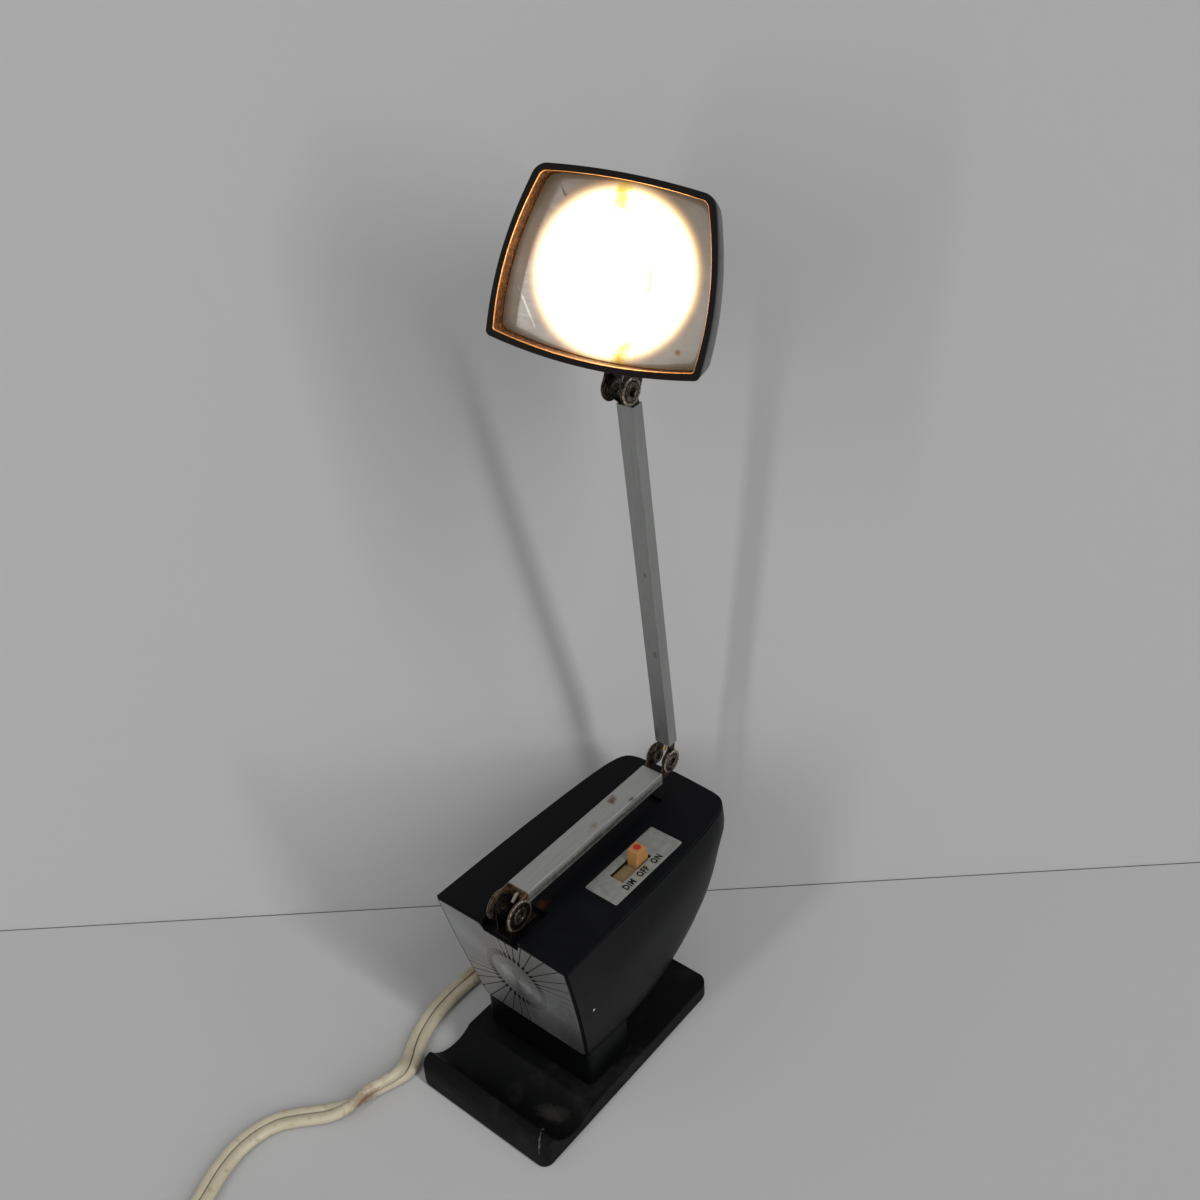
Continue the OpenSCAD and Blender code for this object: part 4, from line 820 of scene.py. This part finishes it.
def in_frame(points):
    """Points of the shade's own frame (-Y ahead, +Z away from the hinge) in the lamp's frame."""
    ct, st, cr, sr = math.cos(TILT), math.sin(TILT), math.cos(TURN), math.sin(TURN)
    lean = np.array([[1, 0, 0], [0, ct, -st], [0, st, ct]])
    turn = np.array([[cr, -sr, 0], [sr, cr, 0], [0, 0, 1]])
    return HEAD + ((points @ turn.T) + [0, SWIVEL_Y, 0]) @ lean.T


def round_off(u, n):
    """Superellipse quarter: 1 at 0, falling to 0 at 1."""
    return np.maximum(0, 1 - np.clip(u, 0, 1) ** n) ** (1 / n)


def shade_outline(depth, inset):
    """Outline at each depth behind the rim: corner arcs between straight edges, then all four edges bowed out.
    The low edge hangs lower at the rim, and its corners are nearly sharp there."""
    d, t = np.asarray(depth, float)[:, None], np.asarray(inset, float)[:, None]
    end = SHADE_D + 0.4 - t
    g, low = round_off(d / end, 2.3), round_off((d - 27) / (end - 27), 2.4)
    back = np.clip(d / SHADE_D, 0, 1)
    rise = LOW_RISE * (1 - (1 - np.clip(d / RISE_D, 0, 1)) ** 2)
    wb, wt = RIM_LOW / 2 * g - t, RIM_TOP / 2 * g - t
    z0 = MID_Z - (MID_Z - CORNER_Z - rise - t) * low
    z1 = MID_Z + (CORNER_Z + RIM_H - MID_Z - t) * g
    rb = np.minimum(1 - t * 0.3 + 6 * back ** 1.3, (z1 - z0) * 0.45)
    rt = np.minimum(np.minimum(3 - t * 0.8 + 7 * back ** 1.5, wt * 0.9), (z1 - z0) * 0.45)
    xb, xt = wb - rb, wt - rt
    k, side = np.linspace(0, 1, 9)[None, :-1], np.linspace(0, 1, 14)[None, 1:-1]
    low_arc, top_arc = np.radians(np.linspace(-90, 7, 15))[None], np.radians(np.linspace(7, 90, 15))[None]
    x = np.concatenate([xb * k, xb + rb * np.cos(low_arc), wb + (wt - wb) * side, xt + rt * np.cos(top_arc),
                        xt * k[:, ::-1]], 1)
    z = np.concatenate([z0 + 0 * k, z0 + rb + rb * np.sin(low_arc), z0 + rb + (z1 - z0 - rb - rt) * side,
                        z1 - rt + rt * np.sin(top_arc), z1 + 0 * k], 1)
    x = np.concatenate([x, -x[:, -2:0:-1]], 1)
    z = np.concatenate([z, z[:, -2:0:-1]], 1)
    v = (z - z0) / (z1 - z0)
    w = wb + (wt - wb) * v
    u = 1 - (x / w) ** 2
    return x * (1 + 4 * v * (1 - v) * SIDE_BOW * g / w), z + (TOP_BOW * g * v - LOW_BOW * low * (1 - v)) * u


back = SHADE_D - SHADE_BACK
outer_d = back * np.sin(np.linspace(np.pi / 2, 0, 44)) ** 0.8
outer_d = np.maximum(outer_d[:-1], 0.5)
# Depth behind the rim and inset of the lip's rows, from outside to inside
lip = np.array([[0.25, 0.0], [0.08, 0.07], [0, 0.25], [0, 1.5], [0.06, 1.7], [0.25, 1.8]])
inner_d = np.concatenate([[0.6, 1.0, 1.1], np.linspace(2, 34, 20), np.linspace(35, back - WALL, 12)])
depths = np.concatenate([outer_d, lip[:, 0], inner_d])
insets = np.concatenate([np.zeros(len(outer_d)), lip[:, 1], [WALL, WALL], np.full(len(inner_d) - 2, SHEET)])
x, z = shade_outline(depths, insets)
shell = in_frame(np.stack([x, np.broadcast_to(depths[:, None] - RIM_AHEAD, x.shape), z], -1))
rows, columns = x.shape
faces = grid_faces(rows, columns)
OUTSIDE, INSIDE, LIP, LIP_GLOW = range(4)
row_finish = np.full(rows - 1, OUTSIDE)
for rows_past_lip, finish in ((1, LIP), (4, LIP_GLOW), (6, INSIDE)):
    row_finish[len(outer_d) + rows_past_lip:] = finish
print("shade grid", rows, "by", columns)

# %% Shade finishes
def stoved_enamel():
    """Black enamel stoved on steel: deep and glossy, with a faint orange peel that softens reflections."""
    m = blank("enamel_stoved_black")
    where = node(m, "TexCoord").outputs["Object"]
    wear = node(m, "TexNoise", {"Vector": where, "Scale": per_metre(14), "Detail": 5.0})
    gloss = node(m, "MapRange", {"Value": wear, "From Min": 0.3, "From Max": 0.7, "To Min": 0.2, "To Max": 0.3})
    relief = fine_grain(m, where, 3, 2.0, 0.02)
    skin = node(m, "BsdfPrincipled", {"Base Color": "#070708", "Roughness": gloss, "Normal": relief})
    return finished(m, skin)


def inside_paint_painted_glow():
    """Inside paint, coloured dark copper brown as painted light from the bulb, with grit that glints."""
    m = blank("paint_inside_painted_bulb_light")
    where = node(m, "TexCoord").outputs["Object"]
    grit = node(m, "TexNoise", {"Vector": where, "Scale": per_metre(1.1), "Detail": 6.0, "Roughness": 0.8})
    share = node(m, "MapRange", {"Value": grit, "From Min": 0.46, "From Max": 0.66})
    tone = node(m, "Mix", {0: share, 6: "#3a2010", 7: "#a5682f"}, data_type="RGBA")
    relief = node(m, "Bump", {"Height": grit, "Distance": 0.15 * MM})
    skin = node(m, "BsdfPrincipled", {"Base Color": tone, "Metallic": 0.3, "Roughness": 0.5, "Normal": relief})
    return finished(m, skin)


SHADE_FINISH, SHADE_INSIDE = stoved_enamel(), inside_paint_painted_glow()
# The lip's paint is worn thin: a flat brown black
LIP_FINISH = moulded("enamel_worn_lip", "#120e0b", 0.6, 0.6, 0.02, 0.12)
# The lip's inner edge is painted bright copper orange: painted light where it faces the bulb
LIP_EDGE_GLOW = worked_metal("lip_edge_painted_bulb_light", "#e09a58", "#a4662f", 0.45, 1.5, (0.5, 0.75), 0.4)
shade = add_mesh("shade_shell", shell.reshape(-1, 3), faces.tolist() + end_caps(rows, columns),
                 [SHADE_FINISH, SHADE_INSIDE, LIP_FINISH, LIP_EDGE_GLOW], "shade",
                 np.concatenate([np.repeat(row_finish, columns), [OUTSIDE, INSIDE]]))
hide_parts("shade")
dressed("stem_screw", ZINC, 0.2)
print("shade", len(shade.data.polygons), "faces")

# %% [markdown]
# ## Reflector and bulb
# Behind the rim sits a flat brushed plate with a round dish pressed into it. The grid runs from the plate's edge in
# to the dish's lip, then down the dish, a piece of a sphere. The bulb is a frosted globe. It is on, so it gives
# light, and the dish round it glows too: its paint gets a share of light that fades past the lip, which stands for
# the glare that a camera sees round a lamp this bright.

# %% Reflector shape
DISH_R, DISH_DEEP, DISH_Z, PLATE_DEEP = 21.6, 12.0, CORNER_Z + 22.5, 9.0
BULB_R, BULB_DEEP, HOLE_R, METAL_T = 9.0, 11.5, 8.2, 0.5
ball = (DISH_R ** 2 + DISH_DEEP ** 2) / (2 * DISH_DEEP)
ex, ez = shade_outline([PLATE_DEEP + METAL_T], [SHEET + 0.2])
edge = np.stack([ex[0], ez[0]], -1)
around = np.arctan2(edge[:, 1] - DISH_Z, edge[:, 0])
circle = np.stack([np.cos(around), np.sin(around)], -1)
LIP_ROLL = 0.25
lip_r = DISH_R + LIP_ROLL
out_share = np.array([0, 0.25, 0.5, 0.75, 0.9])[:, None, None]
plate_rows = edge[None] * (1 - out_share) + ([0, DISH_Z] + lip_r * circle)[None] * out_share
dish_r = np.concatenate([[lip_r, DISH_R - 0.1], np.linspace(DISH_R - 0.6, HOLE_R, 34)])
dish_y = DISH_DEEP - ball + np.sqrt(ball ** 2 - np.minimum(dish_r, DISH_R) ** 2)
dish_y[:2] = (0.0, 0.08)
dish_rows = [0, DISH_Z] + dish_r[:, None, None] * circle[None]
flat = np.concatenate([plate_rows, dish_rows])
deep = np.concatenate([np.zeros(len(plate_rows)), dish_y])[:, None]
behind_rim = np.broadcast_to(PLATE_DEEP - RIM_AHEAD + deep, flat.shape[:2])
dish_points = np.stack([flat[..., 0], behind_rim, flat[..., 1]], -1)
faces = grid_faces(*dish_points.shape[:2])
print("reflector grid", dish_points.shape[:2])

# %% Reflector finish
def pressed_reflector():
    """Aluminium sheet, brushed and pressed to a dish. The eye sees a grey plate, and a dish too bright to look at
    with a yellow, then orange fringe: the camera's glare."""
    m = blank("aluminium_pressed_brushed")
    own = node(m, "Attribute", attribute_name="shade_place").outputs["Vector"]
    reach = node(m, "Attribute", attribute_name="dish_radius").outputs["Fac"]
    drawn = node(m, "Mapping", {"Vector": own, "Scale": (0.06, 1, 1)})
    streaks = node(m, "TexNoise", {"Vector": drawn, "Scale": per_metre(0.8), "Detail": 5.0})
    tone = clouded(m, own, "#7f7d7a", "#b2b0ac", 7, 6.0)
    # The plate is darker towards its top
    level = node(m, "SeparateXYZ", {"Vector": own}).outputs[2]
    darker_up = node(m, "MapRange", {"Value": level, "From Min": 28 * MM, "From Max": 52 * MM, "To Max": 0.6})
    tone = node(m, "Mix", {0: darker_up, 6: tone, 7: "#5f5953"}, data_type="RGBA")
    tone = spotted(m, own, tone, "#8a5a38", 3.2, 7.0, 0.66, 0.76, 0.8)
    # A dark scratch, a pale crack in the lacquer, a rusty spot
    tone = with_marks(m, own, tone, [("#2a2420", 1.0, (-18.4, -12.7, 49.8), (2.6, 2, 0.35), (0, 55, 0)),
                                     ("#2a2420", 1.0, (-17.6, -12.7, 49.0), (0.8, 2, 0.3), (0, -10, 0)),
                                     ("#d8d4ce", 0.8, (-22.8, -12.7, 18), (8.5, 2, 0.45), (0, 55, 0)),
                                     ("#7a4424", 0.9, (21.5, -12.7, 14.5), (1.2, 2, 1.0))])
    # Seams across the dish, above and below the bulb, painted amber with a yellow glow as part of the painted glare
    seam = [mark(m, own, place, (3.4, 9, 7), (0, 14, 0)) for place in ((-2.4, -10, 52), (6.0, -10, 10.8))]
    seams = node(m, "Math", {0: seam[0], 1: seam[1]}, operation="MAXIMUM")
    tone = node(m, "Mix", {0: seams, 6: tone, 7: "#a8742a"}, data_type="RGBA")
    fringe = node(m, "MapRange", {"Value": reach, "From Min": 21.6, "From Max": 24.8})
    glow = node(m, "Mix", {0: fringe, 6: "#fff0b8", 7: "#ffb15a"}, data_type="RGBA")
    glow = node(m, "Mix", {0: seams, 6: glow, 7: "#ffd858"}, data_type="RGBA")
    past = node(m, "MapRange", {"Value": reach, "From Min": 24.2, "From Max": 26.5})
    glow = node(m, "Mix", {0: past, 6: glow, 7: "#ffe0b4"}, data_type="RGBA")
    glare = node(m, "MapRange", {"Value": reach, "From Min": 21.4, "From Max": 25.4, "To Min": 1.0, "To Max": 0.0})
    glare = node(m, "Math", {0: glare, 1: 2.2}, operation="POWER")
    lit = node(m, "MapRange", {"Value": seams, "To Min": 2.2, "To Max": 1.0})
    glare = node(m, "Math", {0: glare, 1: lit}, operation="MULTIPLY")
    haze = node(m, "MapRange", {"Value": reach, "From Min": 22.0, "From Max": 40.0, "To Min": 0.1, "To Max": 0.02})
    power = node(m, "Math", {0: glare, 1: haze}, operation="ADD")
    rough = node(m, "MapRange", {"Value": streaks, "From Min": 0.3, "From Max": 0.7, "To Min": 0.32, "To Max": 0.5})
    relief = node(m, "Bump", {"Height": streaks, "Distance": 0.01 * MM})
    skin = node(m, "BsdfPrincipled", {"Base Color": tone, "Metallic": 0.55, "Roughness": rough, "Normal": relief,
                                      "Emission Color": glow, "Emission Strength": power})
    return finished(m, skin)


reflector = add_mesh("reflector_dish", in_frame(dish_points).reshape(-1, 3), faces, [pressed_reflector()], "shade",
                     solid=False)
plate_r = np.hypot(flat[..., 0], flat[..., 1] - DISH_Z).astype(np.float32)
reflector.data.attributes.new("dish_radius", "FLOAT", "POINT").data.foreach_set("value", plate_r.ravel())
reflector.data.attributes.new("shade_place", "FLOAT_VECTOR", "POINT").data.foreach_set(
    "vector", (dish_points * MM).astype(np.float32).ravel())
thick = reflector.modifiers.new("sheet", "SOLIDIFY")
thick.thickness, thick.offset = METAL_T * 0.9 * MM, 1.0
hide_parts("reflector")
print("reflector", len(reflector.data.polygons), "faces")

# %% Bulb
def blown_glass():
    """Glass blown thin and frosted, with the lamp on: warm white, far brighter than paper."""
    m = blank("glass_blown_lit")
    where = node(m, "TexCoord").outputs["Object"]
    # Amber patches where the glass mirrors the dish's seams
    tint = with_marks(m, where, "#ffe6bd", [("#ffb820", 1.0, (8.6, 46.6, 277.6), (6, 7, 3.2), (0, 50, 0)),
                                                    ("#ffb820", 1.0, (12.9, 44.6, 269.2), (2.6, 7, 6))])
    skin = node(m, "BsdfPrincipled", {"Base Color": "#fff6e0", "Roughness": 0.4,
                                      "Emission Color": tint, "Emission Strength": 9.0})
    return finished(m, skin)


neck_at = math.asin(6.6 / BULB_R)
globe = np.linspace(np.pi, neck_at, 40)
bulb_profile = np.concatenate([np.stack([BULB_R * np.cos(globe), BULB_R * np.sin(globe)], -1)[1:],
                               [[9.6, 6.6], [12.0, 6.6]]])
turn = np.arange(72) * 2 * np.pi / 72
bulb_points = np.stack([bulb_profile[:, 1:] * np.cos(turn),
                        np.broadcast_to(bulb_profile[:, :1] + BULB_DEEP - RIM_AHEAD, (len(bulb_profile), 72)),
                        DISH_Z + bulb_profile[:, 1:] * np.sin(turn)], -1)
faces = grid_faces(len(bulb_profile), 72).tolist() + end_caps(len(bulb_profile), 72)
bulb = add_mesh("bulb_globe", in_frame(bulb_points).reshape(-1, 3), faces, [blown_glass()], "shade")
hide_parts("bulb_glass")
# Brass drawn to a cup and nickelled: a soft grey
SOCKET = worked_metal("nickelled_brass_socket", "#8f908f", "#6d6e6d", 0.4)
for name in ("bulb_socket", "socket_stem"):
    paint(name, SOCKET)
paint("bulb_base", BRASS)
print("bulb", len(bulb.data.polygons), "faces")

# %% [markdown]
# ## Inside the body
# Nobody sees the transformer, its strap and leads or the weight while the lamp is whole, but they are real pieces,
# and each gets the finish of its real material. They keep the CAD's own meshes.

# %% Hidden pieces
# Iron sheets stacked and dipped in varnish: brown grey
LAMINATIONS = worked_metal("iron_laminations_varnished", "#4d4640", "#2f2a26", 0.55, 3.0, metallic=0.5)
# Cotton tape wound and varnished: amber
WINDING = moulded("cotton_tape_varnished", "#9a6a2c", 0.3)
# Phenolic resin pressed to a case: dull black
SWITCH_CASE = moulded("phenolic_pressed_black", "#1d1e20", 0.55)
for names, material in ((("base_weight", "base_screws", "cover_screws", "transformer_screws", "switch_screws",
                          "transformer_strap"), ZINC), (("transformer_core",), LAMINATIONS),
                        (("transformer_winding",), WINDING), (("switch_body",), SWITCH_CASE),
                        (("internal_leads",), WIRE_FINISH)):
    for name in names:
        paint(name, material)
print("hidden pieces painted")

# %% [markdown]
# ## Stage and light
# The lamp stands on a pale grey top, just in front of a card of the same grey that leans back a little. Both are
# seen from their front only: from behind they are clear, so that a camera may go round the lamp. Two tall narrow
# lamps, one on each side, throw the two upright shadows on the card, and the world fills in. Shiny pieces are shown
# a dimmer world, as the room behind the camera was.

# %% Stage
def matt_paint(name, colour):
    """Emulsion rolled on card: no gloss. It shows from the front and is clear from behind."""
    m = blank(name)
    coat = node(m, "BsdfDiffuse", {"Color": colour, "Roughness": 0.6})
    clear = node(m, "BsdfTransparent")
    behind = node(m, "NewGeometry").outputs["Backfacing"]
    return finished(m, node(m, "MixShader", {0: behind, 1: coat, 2: clear}))


def stage_quad(name, corners, colour):
    """Flat stage piece from its corners in metres, anticlockwise seen from its front."""
    mesh = bpy.data.meshes.new(name)
    mesh.from_pydata([tuple(c) for c in corners], [], [tuple(range(len(corners)))])
    shown(name, mesh, [matt_paint(name + "_emulsion", colour)])


WALL_WAY, WALL_OUT, WALL_LEAN = Vector((0.7624, 0.6471, 0)), Vector((0.6471, -0.7624, 0)), math.radians(6)
wall_foot, far = -WALL_OUT * 0.0675, 4.0
left_foot, right_foot = wall_foot - WALL_WAY * far, wall_foot + WALL_WAY * far
tall = Vector((0, 0, far)) - WALL_OUT * far * math.tan(WALL_LEAN)
# A strip of painted shade where the card meets the top: 0.6 mm wide, and a hair above the top
joint = WALL_OUT * 0.0006 + Vector((0, 0, 0.00005))
stage_quad("wall", [left_foot, right_foot, right_foot + tall, left_foot + tall], "#adadad")
stage_quad("floor", [left_foot + WALL_OUT * far, right_foot + WALL_OUT * far, right_foot, left_foot], "#b1b1b1")
stage_quad("painted_shade_line", [left_foot + joint, right_foot + joint, right_foot, left_foot], "#5f5f62")
print("stage")

# %% Lamps and world
def tall_lamp(name, azimuth_deg, reach, nearer, height, watts):
    """Narrow area lamp from table height up to that height, its top nearer than its foot; shares of its reach."""
    data = bpy.data.lights.new(name, "AREA")
    long = math.hypot(nearer, height)
    data.shape, data.size, data.size_y, data.energy = "RECTANGLE", 0.055 * reach, long * reach, watts
    away = Vector((math.cos(math.radians(azimuth_deg)), math.sin(math.radians(azimuth_deg)), 0))
    along = (Vector((0, 0, height)) - away * nearer) / long
    back = (away * height + Vector((0, 0, nearer))) / long
    axes = Matrix((along.cross(back), along, back)).transposed().to_4x4()
    lamp = shown(name, data)
    middle = away * (1 - nearer / 2) * reach + Vector((0, 0, height / 2 * reach))
    lamp.matrix_world = Matrix.Translation(middle) @ axes
    lamp.visible_camera = False


# The left lamp is near and upright, and the right one twice as far, with its top nearer
tall_lamp("lamp_left", -93.2, 1.1, 0.1, 1.2, 4.6)
tall_lamp("lamp_right", -1.9, 2.4, 0.5, 1.0, 32.0)
world = bpy.data.worlds.new("pale_room")
world.use_nodes = True
sky = world.node_tree.nodes["Background"]
sky.inputs["Color"].default_value = linear("#b0b0b0")
glossy = node(world, "LightPath").outputs["Is Glossy Ray"]
dimmer = node(world, "MapRange", {"Value": glossy, "To Min": 1.15, "To Max": 0.3})
world.node_tree.links.new(dimmer.outputs[0], sky.inputs["Strength"])
bpy.context.scene.world = world
bpy.context.scene.view_settings.view_transform = "Standard"
print("two lamps and a pale world")
